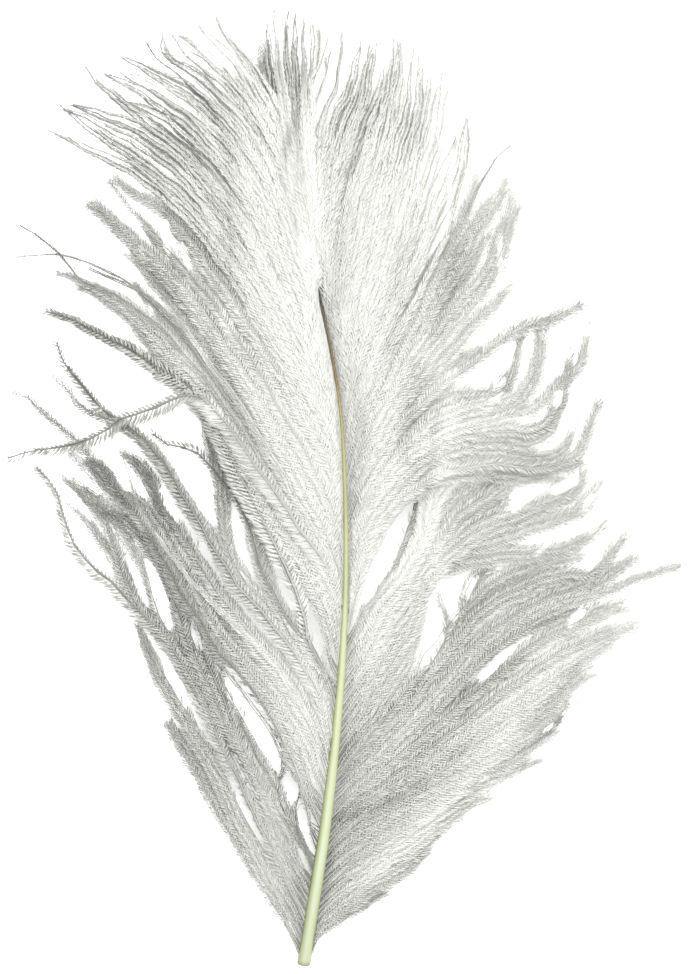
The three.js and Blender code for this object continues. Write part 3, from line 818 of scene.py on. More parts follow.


# %% [markdown]
# ## The locks of the left side
#
# Seen from above, the left side starts as three narrow ribbons at the butt, opens into long loose strands,
# and closes into a broad mass below the crown. Every row below is one tuft: the two ends of its roots on the
# shaft, how many barbs it has, how light it is painted in even steps from root to tip, greys for painted
# shade and whites for painted light, its kind, and its line with a half-width at each point. A few rows end
# with how high the tuft rides, as its level, or with how much of their length its left and right barbules
# have, as its fringe.

# %% Left locks 1 to 3, the ribbons at the butt
TUFTS = {}
TUFTS["left_lock_1"] = [
    ((-245, -239), 8, (.45, .44, .3, .2), "short", [
        (-31, -231, .8), (-41, -212.5, 2.5), (-52, -195, 3), (-62, -178, 3.4), (-71, -162, 3.8),
        (-80, -146, 3.8), (-88, -133, 3.4), (-96, -121, 1.4)]),
    ((-240, -229), 11, (.68, .58, .38, .25), "short", [
        (-32, -222, 1), (-41, -206, 3), (-50, -189, 3.4), (-58, -173, 3.8), (-65, -158, 3.8),
        (-72, -144, 3.8), (-80, -131, 3.4), (-88, -118, 3.4), (-95, -106, 3.4), (-101, -94, 3),
        (-107, -82, 2), (-112, -71, .8)]),
]
TUFTS["left_lock_2"] = [
    ((-226, -216), 7, (.66, .5, .44, .3), "short", [
        (-31, -206, 1), (-37, -191, 1.2), (-46, -174, 1), (-52.5, -161, 1), (-59, -147, 1.2),
        (-64, -134, 1.6), (-70, -121, 2), (-76, -110, 2.5), (-82, -101, 3), (-88, -91, 3), (-94, -83, 2.5),
        (-101, -74, 1.8), (-107, -67, 1)]),
    ((-217, -208), 8, (.66, .5, .44, .3), "short", [
        (-29, -202, 1), (-36, -187, 1.6), (-41, -174, 1.6), (-45, -162, 1.8), (-50.5, -149, 1.8),
        (-56.5, -136, 2.2), (-63, -123, 3), (-70, -112, 4), (-77, -103, 4.5), (-83, -95, 4.5), (-89, -86, 4),
        (-95, -79, 3), (-102, -71, 2)]),
    ((-228, -226), 2, (.55, .45, .3, .25), "loose", [
        (-33, -205, .5), (-49, -172, .6), (-63, -143, .8), (-75, -117, 1), (-88, -92, 1), (-103, -71, .6),
        (-114, -60, .5), (-123, -51, .4), (-132, -43, .4), (-140, -34, .4), (-147, -25, .4),
        (-150.5, -15, .4), (-152.5, -6, .4), (-155, 1, .3), (-159, 7, .3),
        (-165, 12, .2)], {"fringe": (1.15, .45)}),
    ((-224, -221), 5, (.55, .45, .3, .25), "short", [
        (-33, -203, .8), (-49.5, -170, .8), (-65.5, -139, .8), (-78, -111, 1.5), (-91, -88, 1.5),
        (-104, -71, 1.2), (-112, -60, 1.6), (-117, -51, 2.2), (-121, -42, 2.4), (-126, -33, 2.4),
        (-132, -24, 2.2), (-138, -16, 1.6), (-148, -7, .6)]),
    ((-220, -217), 5, (.55, .45, .3, .25), "soft", [
        (-33, -200, .8), (-51.5, -164, .6), (-66.5, -134, .8), (-77, -107, 1.2), (-90, -85, 1.2),
        (-101, -71, 1), (-108, -64, 1), (-114, -54, 1.8), (-119, -43, 2.2), (-122, -32, 2.2),
        (-126, -22, 2.2), (-132, -13, 2), (-138, -5, 1.6), (-144, 2, 1), (-151, 7, .5)]),
    ((-217, -214), 4, (.55, .45, .25, .25), "soft", [
        (-31, -197, .8), (-43.5, -163, .6), (-59, -130, .8), (-75, -106, 1), (-86, -86, .8), (-96, -73, .6),
        (-100, -63, .5), (-104, -52, 1.2), (-108, -42, 1.8), (-113, -32, 2), (-118, -24, 2), (-124, -15, 1.8),
        (-132, -8, 1.2)]),
    ((-236, -228), 9, (.5, .66, .52, .35), "short", [
        (-29, -222, 2), (-36, -209, 2.6), (-44, -195, 2.6), (-53, -180, 2), (-60, -167, 2), (-66, -156, 1)]),
]
TUFTS["left_lock_3"] = [
    ((-212, -202), 10, (.6, .5, .35, .3), "short", [
        (-28, -195, 1.2), (-34, -183, 3.4), (-41, -169, 3.8), (-48, -155, 4), (-55, -142, 3.8),
        (-61, -131, 3.4), (-66, -119, 3.8), (-70, -108, 4), (-74, -97, 4), (-78, -87, 3.4), (-82, -79, 1.4)]),
    ((-203, -192), 9, (.55, .5, .35, .3), "short", [
        (-23, -190, 1), (-29, -178, 3), (-35, -166, 3.4), (-41, -154, 3.8), (-47, -144, 3.8),
        (-53, -132, 3.8), (-59, -122, 3.8), (-64, -112, 3.8), (-67, -103, 2.8), (-69, -95, 1.4)]),
    ((-208, -203), 6, (.5, .4, .25, .2, .2), "soft", [
        (-27, -194, 1), (-40, -168, 2.5), (-54, -142, 2.8), (-66, -116, 3.4), (-75, -96, 4), (-82, -80, 5.1),
        (-88, -65, 5.1), (-93, -51, 4.4), (-98, -38, 4), (-103, -26, 4), (-109, -15, 4.4), (-117, -6, 5.1),
        (-126, 2, 5.4), (-134, 10, 5.1), (-141, 16, 3.4), (-147, 20, 1.4)]),
    ((-210, -205), 9, (.5, .4, .25, .12, .1, .15), "soft", [
        (-28, -194, 1), (-42, -166, 1.6), (-56, -140, 1.8), (-69, -113, 2), (-80, -88, 2.4), (-89, -66, 2.4),
        (-95, -48, 2.4), (-101, -34, 3.2), (-109, -23, 4), (-119, -15, 4.4), (-129, -9, 4.4), (-138, -3, 3.4),
        (-147, 5, 1.8)]),
    ((-198, -195), 3, (.4, .2, .2, .2), "short", [
        (-22, -187, .6), (-28, -173, .8), (-26, -160, .8), (-27, -148, .8), (-32, -139, .8),
        (-39, -128, .6)]),
    ((-201, -198), 3, (.4, .2, .2, .2), "short", [
        (-25, -185, .8), (-34, -168, .8), (-38, -155, .8), (-33.5, -142, .8), (-37, -131, .8),
        (-45, -119, .6)]),
    ((-214, -207), 6, (.5, .4, .4), "short", [
        (-24, -203, 1), (-28, -193, 1.5), (-32, -183, 2), (-36, -173, 1.5)]),
]

# %% Left locks 4 and 5, the loose strands
TUFTS["left_lock_4"] = [
    ((-190, -177), 8, (.4, .3, .3, .3, .2), "short", [
        (-21, -178, .8), (-24, -165, 1.3), (-28, -152, 1.6), (-33, -140, 2), (-39, -128, 2.1),
        (-46, -116, 2.3), (-53, -106, 2.3), (-61, -96, 2.3), (-69, -86, 2.9), (-77, -74, 3.6),
        (-84, -62, 4.2), (-90, -50, 4.2), (-96, -37, 3.9), (-100, -26, 2.6)]),
    ((-179, -163), 10, (.7, .6, .4, .3, .2), "soft", [
        (-20, -162, 1.5), (-24, -149, 2.6), (-30, -135, 3.2), (-37, -122, 3.6), (-45, -110, 3.6),
        (-53, -100, 3.6), (-61, -90, 3.6), (-69, -79, 3.9), (-76, -68, 4.2), (-83, -56, 4.5), (-89, -44, 4.5),
        (-95, -31, 3.9), (-102, -19, 3.2), (-110, -8, 3.2), (-118, 0, 3.2), (-126, 8, 2.6), (-133, 16, 1.3)]),
    ((-165, -151), 10, (.9, .9, .6, .3, .25), "soft", [
        (-16, -150, 2), (-21, -134, 3.6), (-28, -119, 4.2), (-36, -106, 4.2), (-45, -95, 3.9),
        (-54, -85, 3.9), (-63, -75, 3.9), (-71, -64, 3.9), (-79, -53, 3.9), (-87, -42, 3.2), (-95, -31, 2.3),
        (-101, -22, 1.3)]),
    ((-152, -138), 9, (.95, .9, .6, .4, .2, .2), "soft", [
        (-15, -134, 1.5), (-21, -117, 3.2), (-29, -103, 3.2), (-37, -92, 3.2), (-46, -81, 3.2),
        (-55, -71, 2.6), (-64, -60, 2.6), (-72, -49, 2.6), (-79, -38, 2.3), (-86, -28, 2.6), (-92, -18, 2.6),
        (-97, -9, 2.3), (-102, 2, 2.6), (-107, 10, 2.3), (-113, 17, 2), (-121, 21, 1)]),
    ((-147, -144), 3, (.9, .9, .8, .8, .6), "bare", [
        (-18, -127, .6), (-26, -110, .8), (-35, -96, .8), (-44, -85, .8), (-54, -75.5, .8), (-64, -66.5, .8),
        (-74, -57, .8), (-84, -46, .8), (-94, -34, .8), (-102, -22, .8), (-109, -11, .6), (-114, 0, .5),
        (-117, 10, .5), (-119, 18, .5)], {"level": 1.05}),
    ((-139, -127), 9, (.9, .85, .75, .5, .35, .3), "short", [
        (-12, -120, 1.5), (-18, -105, 2.6), (-26, -91, 2.6), (-34, -79, 2.6), (-43, -68, 2.6),
        (-52, -58, 2.6), (-60, -48, 2.3), (-66, -38, 2.3), (-71, -29, 2.1), (-76, -20, 2.1), (-82, -11, 2.1),
        (-87, -3, 2), (-92, 5, 2), (-97, 13, 2), (-102, 21, 1.6), (-108, 28, 1)]),
    ((-170, -160), 6, (.6, .5, .3, .15, .1), "soft", [
        (-20, -155, 1.5), (-30, -130, 2), (-42, -108, 2), (-56, -91, 2), (-70, -73, 2), (-80, -55, 2.2),
        (-88, -38, 2.5), (-93, -24, 3), (-98, -12, 3), (-104, -1, 3), (-109, 8, 2.5), (-114, 16, 1.5)]),
    ((-178, -168), 8, (.6, .5, .3, .15, .1, .1), "soft", [
        (-22, -160, 1.5), (-32, -135, 2), (-46, -111, 2), (-60, -93, 2), (-74, -75, 2.2), (-84, -58, 2.5),
        (-92, -40, 3), (-99, -25, 3.5), (-107, -14, 4), (-117, -4, 4.5), (-127, 6, 4.5), (-137, 17, 3)]),
    ((-176, -173), 3, (.6, .5, .3, .15, .1, .1), "soft", [
        (-22, -162, 1), (-34, -136, 1.2), (-48, -112, 1.2), (-64, -92, 1.2), (-80, -68, 1.5), (-93, -46, 1.5),
        (-104, -26, 1.5), (-116, -8, 1.5), (-127, 7, 1.5), (-136, 18, 1.5), (-143, 25, 1.4), (-150, 31, 1.2),
        (-160, 41, 1), (-170, 49, .6), (-178, 52, .3)]),
    ((-146, -136), 6, (.8, .8, .8, .7), "short", [
        (-13, -128, 2), (-17, -114, 2.6), (-22, -101, 3), (-29, -88, 3)]),
]
TUFTS["left_lock_5"] = [
    ((-130, -127), 3, (.9, .7, .4, .2, .1), "loose", [
        (-13, -112, .5), (-27, -88, .6), (-44, -66, .6), (-60, -48, .6), (-71, -29, .6), (-82, -11, .6),
        (-92, 5, .6), (-102, 20, .6), (-109, 28, .6), (-116, 33, .5), (-122, 37, .4), (-129, 42, .4),
        (-136, 49, .5), (-143, 58, .5), (-149, 67, .4), (-152, 72, .3), (-154, 78, .2)], {"fringe": (1, .7)}),
    ((-127, -117), 9, (.85, .75, .6, .2, .15), "short", [
        (-12, -108, 1), (-18, -95, 1.5), (-26, -82, 1.8), (-34, -71, 1.8), (-42, -61, 1.8), (-50, -52, 1.8),
        (-57, -43, 1.8), (-62, -34, 2), (-65, -24, 2.5), (-66, -13, 2.9), (-66.5, -2, 3.2), (-68, 9, 3.2),
        (-70.5, 20, 3.2), (-73, 31, 3.2), (-76, 41, 2.8), (-80, 48, 1.9)]),
    ((-117, -108), 9, (.85, .7, .5, .2, .15), "short", [
        (-11, -100, 1), (-17, -89, 1.8), (-24, -79, 1.9), (-31, -69, 2.2), (-38, -58, 2.8), (-43, -47, 3.1),
        (-46, -36, 3.8), (-48, -26, 4), (-51, -15, 3.2), (-55, -5, 3), (-59, 5, 3), (-63, 15, 2.8),
        (-67, 25, 2.8), (-71, 34, 2.8), (-76, 43, 2.5), (-81, 50, 1.5)]),
    ((-112, -110), 2, (.6, .4, .2, .2), "loose", [
        (-13, -94, .5), (-28, -72, .6), (-40, -54, .6), (-48, -36, .6), (-53, -18, .6), (-62, 0, .5),
        (-70, 9, .5), (-76, 16, .5), (-82, 20.5, .5), (-89, 23.5, .5), (-96, 25, .4),
        (-104, 29, .3)], {"fringe": (.5, 1.1)}),
    ((-128, -125), 3, (.8, .6, .3, .15, .1), "soft", [
        (-14, -110, .6), (-29, -86, .8), (-46, -64, .8), (-62, -46, .8), (-74, -27, .8), (-86, -8, .8),
        (-97, 9, .8), (-108, 25, .8), (-120, 34, .8), (-132, 39, .8), (-141, 43.5, .8), (-146, 50.5, .6),
        (-151, 55.5, .4), (-157, 60, .2)]),
]

# %% Left locks 6 and 7, the side below the crown
TUFTS["left_lock_6"] = [
    ((-107, -101), 6, (.8, .8, .7, .4, .25, .2), "loose", [
        (-12, -97, .5), (-17, -87, .7), (-22, -76, .7), (-25, -65, .7), (-27, -55, .7), (-31, -45, .9),
        (-37, -33, 1.1), (-43, -22, 1.3), (-50, -9, 1.4), (-57, 4, 1.7), (-63, 17, 1.8), (-69, 30, 1.8),
        (-75, 41, 2), (-82, 50, 2.2), (-90, 57, 1.7), (-99, 63, 1.1), (-109, 69.5, .7), (-119, 76, .5),
        (-129, 81.5, .4), (-139, 86, .2), (-149, 91, .2), (-160, 95, .2)]),
    ((-60, -57), 3, (.9, .6, .3, .25), "loose", [
        (-10, -42, .4), (-22, -24, .4), (-36, -4, .4), (-50, 16, .4), (-62, 32, .4), (-73, 46, .4),
        (-80, 50, .4), (-88, 49, .3), (-99, 44.5, .3), (-110, 41, .3), (-120, 37, .4), (-130, 30.5, .4),
        (-137, 27, .4), (-147, 24, .3), (-156, 22, .3), (-166, 20.5, .3),
        (-180, 17.5, .2)], {"level": 1.2, "fringe": (1.3, .6)}),
]
TUFTS["left_lock_7"] = [
    ((-101, -93), 9, (.8, .77, .8, .76, .6, .33), "short", [
        (-10, -89, .8), (-12, -77, 1.1), (-15, -65, 1.4), (-21, -54, 1.4), (-28, -43, 1.6), (-35, -32, 1.8),
        (-41, -21, 2.1), (-47, -10, 2.3), (-53, 1, 2.5), (-60, 12, 2.5), (-66, 24, 2.5), (-72, 36, 2.5),
        (-79, 47, 2.5), (-87, 56, 2.3), (-95, 65, 2.3), (-103, 74, 2.3), (-110, 83, 1.7), (-115, 90, 1.1)]),
    ((-93, -85), 9, (.95, .95, .97, .83, .57, .24), "soft", [
        (-8, -76, 1.4), (-12, -62, 2.3), (-19, -48, 2.3), (-27, -34, 2.3), (-35, -21, 2.3), (-43, -7, 2.3),
        (-51, 7, 2.3), (-59, 21, 2.3), (-67, 34, 2.3), (-75, 46, 2.5), (-83, 57, 2.8), (-92, 67, 3),
        (-101, 77, 3), (-110, 86, 2.8), (-119, 94, 2.3), (-128, 100, 1.7), (-137, 105, 1.1),
        (-144, 107.5, .6)]),
    ((-86, -77), 9, (1, .95, .98, .88, .62, .24), "soft", [
        (-7, -64, 2), (-13, -48, 2.8), (-21, -33, 2.8), (-29, -19, 2.8), (-37, -5, 2.8), (-46, 9, 2.8),
        (-55, 23, 2.8), (-63, 36, 3), (-71, 48, 3.2), (-80, 60, 3.2), (-89, 71, 3.2), (-98, 81, 3.2),
        (-107, 90, 3.2), (-116, 97, 2.8), (-125, 103, 2.3), (-135, 108, 1.6), (-145, 112, 1.1),
        (-154, 115, .6)]),
    ((-78, -68), 10, (1, 1, 1, .93, .72, .28), "soft", [
        (-8, -52, 2.5), (-15, -36, 3.2), (-23, -21, 3.2), (-31, -6, 3.4), (-40, 9, 3.4), (-49, 24, 3.4),
        (-57, 38, 3.4), (-66, 51, 3.4), (-75, 63, 3.4), (-84, 75, 3.4), (-93, 86, 3.4), (-101, 95, 2.9),
        (-108, 103, 2.1), (-113, 110, 1.1)]),
    ((-69, -64), 3, (1, .95, .8, .5, .2), "bare", [
        (-10, -38, 1.5), (-22, -16, 1.5), (-35, 7, 1.5), (-48, 29, 1.5), (-61, 49, 1.5), (-75, 68, 1.5),
        (-89, 86, 1.2), (-102, 98, 1), (-113, 106, 1), (-121, 110.5, .8), (-129, 114, .6), (-137, 117, .3)]),
    ((-66, -63), 3, (1, .9, .6, .35, .2), "bare", [
        (-10, -36, .8), (-23, -13, .8), (-36, 10, .8), (-49, 32, .8), (-63, 53, .8), (-77, 72, .8),
        (-91, 89, .8), (-104, 101, .8), (-116, 109, .6), (-127, 115, .4), (-136, 119.5, .4), (-145, 123, .4),
        (-155, 123.8, .4), (-165, 124, .3), (-175, 122.5, .2)]),
    ((-81, -78), 3, (.9, .8, .52, .35, .2), "bare", [
        (-8, -58, .8), (-17, -38, .8), (-27, -18, .8), (-38, 2, .8), (-50, 21, .8), (-63, 41, .8),
        (-77, 60, .8), (-92, 78, .8), (-107, 92, .8), (-122, 102, .8), (-134, 108, .6), (-142, 111, .5),
        (-147, 117, .5), (-151, 123, .5), (-158, 130, .4), (-165, 134.5, .3), (-173.5, 140, .2)]),
]

# %% Left locks 8 and 9, up to the crown
TUFTS["left_lock_8"] = [
    ((-60, -48), 11, (1, 1, .96, .54, .38, .23), "soft", [
        (-9, -34, 2.5), (-17, -18, 3.4), (-26, -2, 3.4), (-35, 14, 3.4), (-45, 30, 3.4), (-54, 45, 3.4),
        (-63, 59, 3.4), (-72, 72, 3.4), (-81, 84, 3.4), (-89, 95, 3.4), (-97, 105, 3.4), (-104, 113, 2.8),
        (-111, 120, 2), (-118, 125, .9)]),
    ((-48, -37), 11, (1, 1, .96, .54, .38, .28), "blunt", [
        (-9, -22, 2.5), (-18, -5, 3.4), (-27, 12, 3.4), (-37, 28, 3.4), (-46, 43, 3.4), (-55, 58, 3.4),
        (-64, 72, 3.4), (-73, 85, 3.4), (-82, 97, 3.4), (-91, 108, 3.4), (-100, 118, 3.1), (-109, 127, 2.9),
        (-118, 136, 2.8), (-127, 144, 2.8), (-137, 152, 2.5)]),
    ((-38, -29), 9, (1, 1, .96, .54, .38, .28), "soft", [
        (-10, -10, 2.5), (-19, 8, 3.4), (-29, 26, 3.4), (-39, 43, 3.4), (-48, 58, 3.4), (-57, 73, 3.4),
        (-66, 87, 3.4), (-75, 99, 3.4), (-84, 110, 3.4), (-93, 121, 3.1), (-101, 131, 2.7),
        (-108, 140, 1.7)]),
    ((-31, -28), 3, (1, .9, .76, .44, .18), "soft", [
        (-12, 0, 1), (-25, 24, 1), (-38, 46, 1), (-51, 67, 1), (-64, 87, 1), (-77, 105, 1), (-89, 120, 1),
        (-99, 131, 1), (-107, 140, 1), (-113, 147, .8), (-120, 155, .5), (-127, 162.5, .2)]),
    ((-29, -21), 8, (1, 1, .96, .54, .43, .28), "soft", [
        (-11, 6, 2.5), (-21, 25, 3.4), (-31, 43, 3.4), (-41, 60, 3.4), (-50, 75, 3.4), (-59, 90, 3.4),
        (-68, 104, 3.4), (-76, 116, 3.4), (-84, 128, 3.1), (-91, 139, 2.5), (-97, 148, 1.3)]),
    ((-25, -18), 6, (1, 1, .86, .49, .28), "blunt", [
        (-11, 10, 2), (-22, 31, 2.2), (-33, 51, 2.2), (-44, 70, 2.2), (-55, 88, 2.2), (-66, 105, 2.2),
        (-77, 121, 2.2), (-87, 134, 2), (-95, 144, 1.6), (-103, 151, 1.3), (-110, 154.5, 1.3),
        (-117, 160, 1.3), (-124, 165, .9)]),
]
TUFTS["left_lock_9"] = [
    ((-19, -9), 9, (1, 1, .73, .45, .4), "soft", [
        (-12, 18, 3), (-22, 38, 3), (-33, 58, 3.4), (-44, 77, 3.4), (-55, 95, 3.4), (-66, 112, 3.4),
        (-76, 127, 3.2), (-85, 140, 3), (-93, 151, 2.4), (-100, 160, 1.2)]),
    ((-12, -2), 8, (1, 1, .78, .48, .35, .2), "needle", [
        (-11, 24, 2.5), (-22, 46, 3), (-33, 67, 3), (-45, 88, 3), (-57, 108, 3), (-70, 127, 3), (-84, 143, 3),
        (-98, 156, 2.8), (-111, 166, 3.5), (-124, 174, 3), (-137, 180, 2.2), (-149, 186, 1.4),
        (-158, 190, .3)]),
    ((-5, 4), 8, (1, 1, .78, .48, .35, .2), "needle", [
        (-11, 31, 2.5), (-22, 54, 3), (-33, 76, 3), (-45, 98, 3), (-58, 118, 3), (-71, 137, 3), (-85, 153, 3),
        (-98, 165, 2.8), (-111, 174, 3.5), (-123, 182, 3), (-134, 190, 2.3), (-144, 197, 1.7),
        (-152, 203, .3)]),
    ((3, 11), 7, (1, 1, .78, .48, .35, .2), "needle", [
        (-11, 37, 2.5), (-22, 61, 3), (-33, 84, 3), (-45, 106, 3), (-58, 127, 3), (-71, 146, 3),
        (-84, 162, 3), (-97, 174, 2.8), (-110, 183, 3.5), (-123, 190, 3), (-136, 196, 1.9), (-150, 201, .3)]),
    ((10, 19), 8, (1, 1, .78, .48, .35, .2), "needle", [
        (-12, 43, 2.5), (-22, 66, 3), (-32, 88, 3), (-43, 110, 3), (-55, 131, 3), (-68, 150, 3),
        (-82, 167, 3), (-95, 180, 3), (-108, 189, 3.8), (-121, 195, 3), (-134, 199.5, 1.9),
        (-147, 202.5, .3)]),
]
for name, rows in TUFTS.items():
    print(name, "has", sum(row[1] for row in rows), "barbs in", len(rows), "tufts")

# %% [markdown]
# ## The locks of the right side
#
# The right side is fuller. Its lower half is one broad fan with a bright stream along its edge, its middle
# breaks into blunt fingers with gaps between them, and its upper part stands up beside the crown.

# %% Right locks 1 to 4, the lower fan
TUFTS["right_lock_1"] = [
    ((-246, -240), 5, (.5, .4, .3), "short", [
        (-17, -236, .8), (-10, -230, 1.4), (-2, -224, 1.4), (6, -219, 1.4), (14, -214.5, 1.6),
        (20, -211, 1.6)]),
    ((-241, -235), 7, (.5, .5, .45, .5), "short", [
        (-14, -230, 1.2), (-6, -223, 2.2), (3, -216.5, 2.4), (12, -211, 2.4), (21, -206, 1.8),
        (29, -201, 1.6), (36, -196, 1.2), (43, -190, .6)]),
    ((-235, -226), 10, (.5, .75, .5, .35), "short", [
        (-12, -222, 1.5), (-3, -214, 2.9), (7, -207, 3.1), (17, -201, 3.4), (27, -195, 3.4), (36, -189, 3.1),
        (43, -183, 2.6), (50, -177, 2.2), (59, -171, 1.6)]),
]
TUFTS["right_lock_2"] = [
    ((-227, -218), 10, (.45, .75, .85, .5), "short", [
        (-9, -214, 1.8), (2, -205, 2.8), (13, -198, 3), (24, -191, 3.2), (35, -184, 3.2), (45, -177, 3.2),
        (55, -170, 2.8), (65, -165, 2.3), (75, -160, 2.2)]),
    ((-219, -210), 10, (.4, .7, .9, .7, .45), "short", [
        (-7, -206, 1.8), (5, -197, 2.9), (17, -189, 3.2), (29, -181, 3.2), (41, -173, 3.2), (52, -165, 3),
        (63, -158.5, 2.8), (73, -153, 2.5), (83, -149, 2.3), (92, -145, 2.2), (101, -140, 2.2)]),
]
TUFTS["right_lock_3"] = [
    ((-211, -203), 10, (.42, .6, .76, .7, .42), "soft", [
        (-5, -198, 1.8), (8, -189, 2.9), (20, -181, 3.2), (33, -173, 3.2), (45, -165, 3.2), (57, -157, 3.2),
        (68, -150, 3.2), (79, -144, 3.4), (90, -138, 3.4), (99, -132, 3.4), (107, -126, 3.4),
        (113, -120, 3.4)]),
    ((-204, -196), 10, (.38, .54, .76, .72, .42), "soft", [
        (-4, -190, 1.8), (9, -181, 2.9), (22, -173, 3.2), (35, -165, 3.2), (48, -157, 3.2), (60, -149, 3.2),
        (72, -141, 3.2), (84, -134, 3.4), (95, -127, 3.4), (105, -120, 3.4), (113, -113, 3.4),
        (121, -107, 3.4)]),
    ((-197, -188), 10, (.4, .46, .74, .74, .47), "soft", [
        (-3, -182, 1.8), (10, -173, 2.9), (23, -165, 3), (36, -157, 3.2), (49, -149, 3.2), (61, -141, 3.2),
        (74, -133, 3.2), (86, -125, 3.4), (98, -117, 3.4), (108, -110, 3.4), (117, -103, 3.4),
        (125, -97, 3.4), (132, -93, 3.4)]),
]
TUFTS["right_lock_4"] = [
    ((-189, -181), 10, (.5, .5, .58, .72, .64), "soft", [
        (-2, -174, 1.8), (11, -165, 2.9), (24, -157, 3.1), (37, -149, 3.4), (50, -140, 3.4), (62, -131, 3.4),
        (75, -122, 3.4), (87, -114, 3.4), (99, -106, 3.4), (110, -99, 3.4), (120, -92, 3.4), (129, -86, 3.4),
        (137, -82, 3.4), (144, -79, 3.4)]),
    ((-183, -175), 9, (.52, .42, .47, .62, .52), "blunt", [
        (0, -167, 1.8), (13, -157, 2.9), (26, -148, 3.1), (38, -139, 3.4), (50, -130, 3.4), (62, -121, 3.4),
        (74, -111, 3.1), (86, -102, 2.9), (98, -94, 3.4), (110, -87, 3.4), (121, -81, 3.4), (132, -76, 3.4),
        (143, -72.5, 3.4), (154, -71, 3.4)]),
    ((-176, -168), 9, (.57, .62, .52, .57, .52), "blunt", [
        (2, -161, 1.8), (14, -150, 2.6), (26, -140, 3), (38, -130, 3), (50, -120, 3), (61, -110, 2.9),
        (73, -100, 2.2), (85, -91, 2.4), (96, -83, 3.4), (107, -76, 3.4), (118, -71, 3.4), (129, -66, 3.4),
        (140, -62, 3.4), (149, -60, 3.4)]),
    ((-174, -169), 5, (.57, .6, .5, .45, .45), "blunt", [
        (3, -159, 1), (16, -146, 1.5), (29, -134, 1.6), (42, -121, 1.8), (53, -110, 2), (61, -100, 2)]),
]

# %% Right locks 5 and 6, the top of the fan
TUFTS["right_lock_5"] = [
    ((-169, -162), 6, (.59, .59, .44, .49, .34), "blunt", [
        (3, -154, 1.5), (14, -143, 2.7), (26, -132, 3), (38, -121, 3.2), (49, -109, 3.2), (61, -97, 3),
        (73, -85, 2.7), (86, -75, 3), (99, -67, 2.7), (112, -61, 2.4), (125, -56.5, 2.2), (137, -53, 1.6),
        (148, -48.5, 1.1), (157, -44.5, .8), (167, -41.5, 1.8), (179, -37.5, 1.8)], {"fringe": (1, .6)}),
    ((-162, -155), 9, (.59, .59, .49, .44, .44), "blunt", [
        (4, -148, 1.8), (15, -137, 3), (27, -125, 3.2), (38, -113, 3.4), (48, -101, 3.4), (58, -90, 3.4),
        (69, -79, 3.5), (81, -70, 3.8), (94, -62, 3.8), (107, -56, 3.5), (119, -52, 3.2), (130, -48, 3),
        (139, -43, 2.7), (146, -38, 2.4), (152, -34, 1.8)]),
    ((-156, -149), 9, (.59, .54, .44, .44, .49), "blunt", [
        (4, -141, 1.8), (15, -129, 2.7), (26, -117, 2.7), (36, -105, 2.2), (44, -95, 2), (52, -84, 2.4),
        (60, -74, 3), (69, -65, 3.5), (80, -57, 4.1), (92, -51, 4.1), (104, -47, 3.8), (115, -45.5, 3.5),
        (124, -45, 2.7), (132, -40, 2.4), (138, -33, 2.7), (144, -25, 3), (149, -20, 2.4)]),
    ((-151, -146), 8, (.54, .49, .44, .49, .54), "blunt", [
        (4, -137, 1.8), (15, -124, 2), (26, -111, 2), (35, -99, 2), (43, -88, 2.2), (51, -76, 2.6),
        (59, -65, 3), (68, -56, 3), (79, -48, 3), (91, -42, 3), (103, -38, 2.8), (114, -36, 2.6),
        (124, -33, 2)]),
    ((-152, -149), 3, (.59, .49, .89, .59, .39), "short", [
        (5, -137, .8), (18, -122, .8), (31, -107, .8), (42, -93, .8), (51, -80, 1), (53, -70, 1),
        (49, -61, 1.2), (46, -54, 1)]),
    ((-153, -148), 6, (.57, .52, .42, .37, .42), "blunt", [
        (5, -138, 1.5), (17, -124, 2), (29, -110, 2), (41, -96, 2), (52, -83, 2), (58, -71, 2.4),
        (62, -60, 3), (65, -51, 3), (70, -44, 2.4), (76, -40, 1.5)]),
    ((-171, -168), 5, (.59, .52, .42, .37, .37), "blunt", [
        (3, -155, 1), (15, -143, 1.5), (27, -132, 1.5), (39, -120.5, 1.5), (50, -109, 1.5), (62, -97, 1.2),
        (74, -86, 1), (85, -78, 1.2), (96, -72, 2.4), (108, -67.5, 2.8), (120, -64, 2.4), (132, -60, 1.5)]),
]
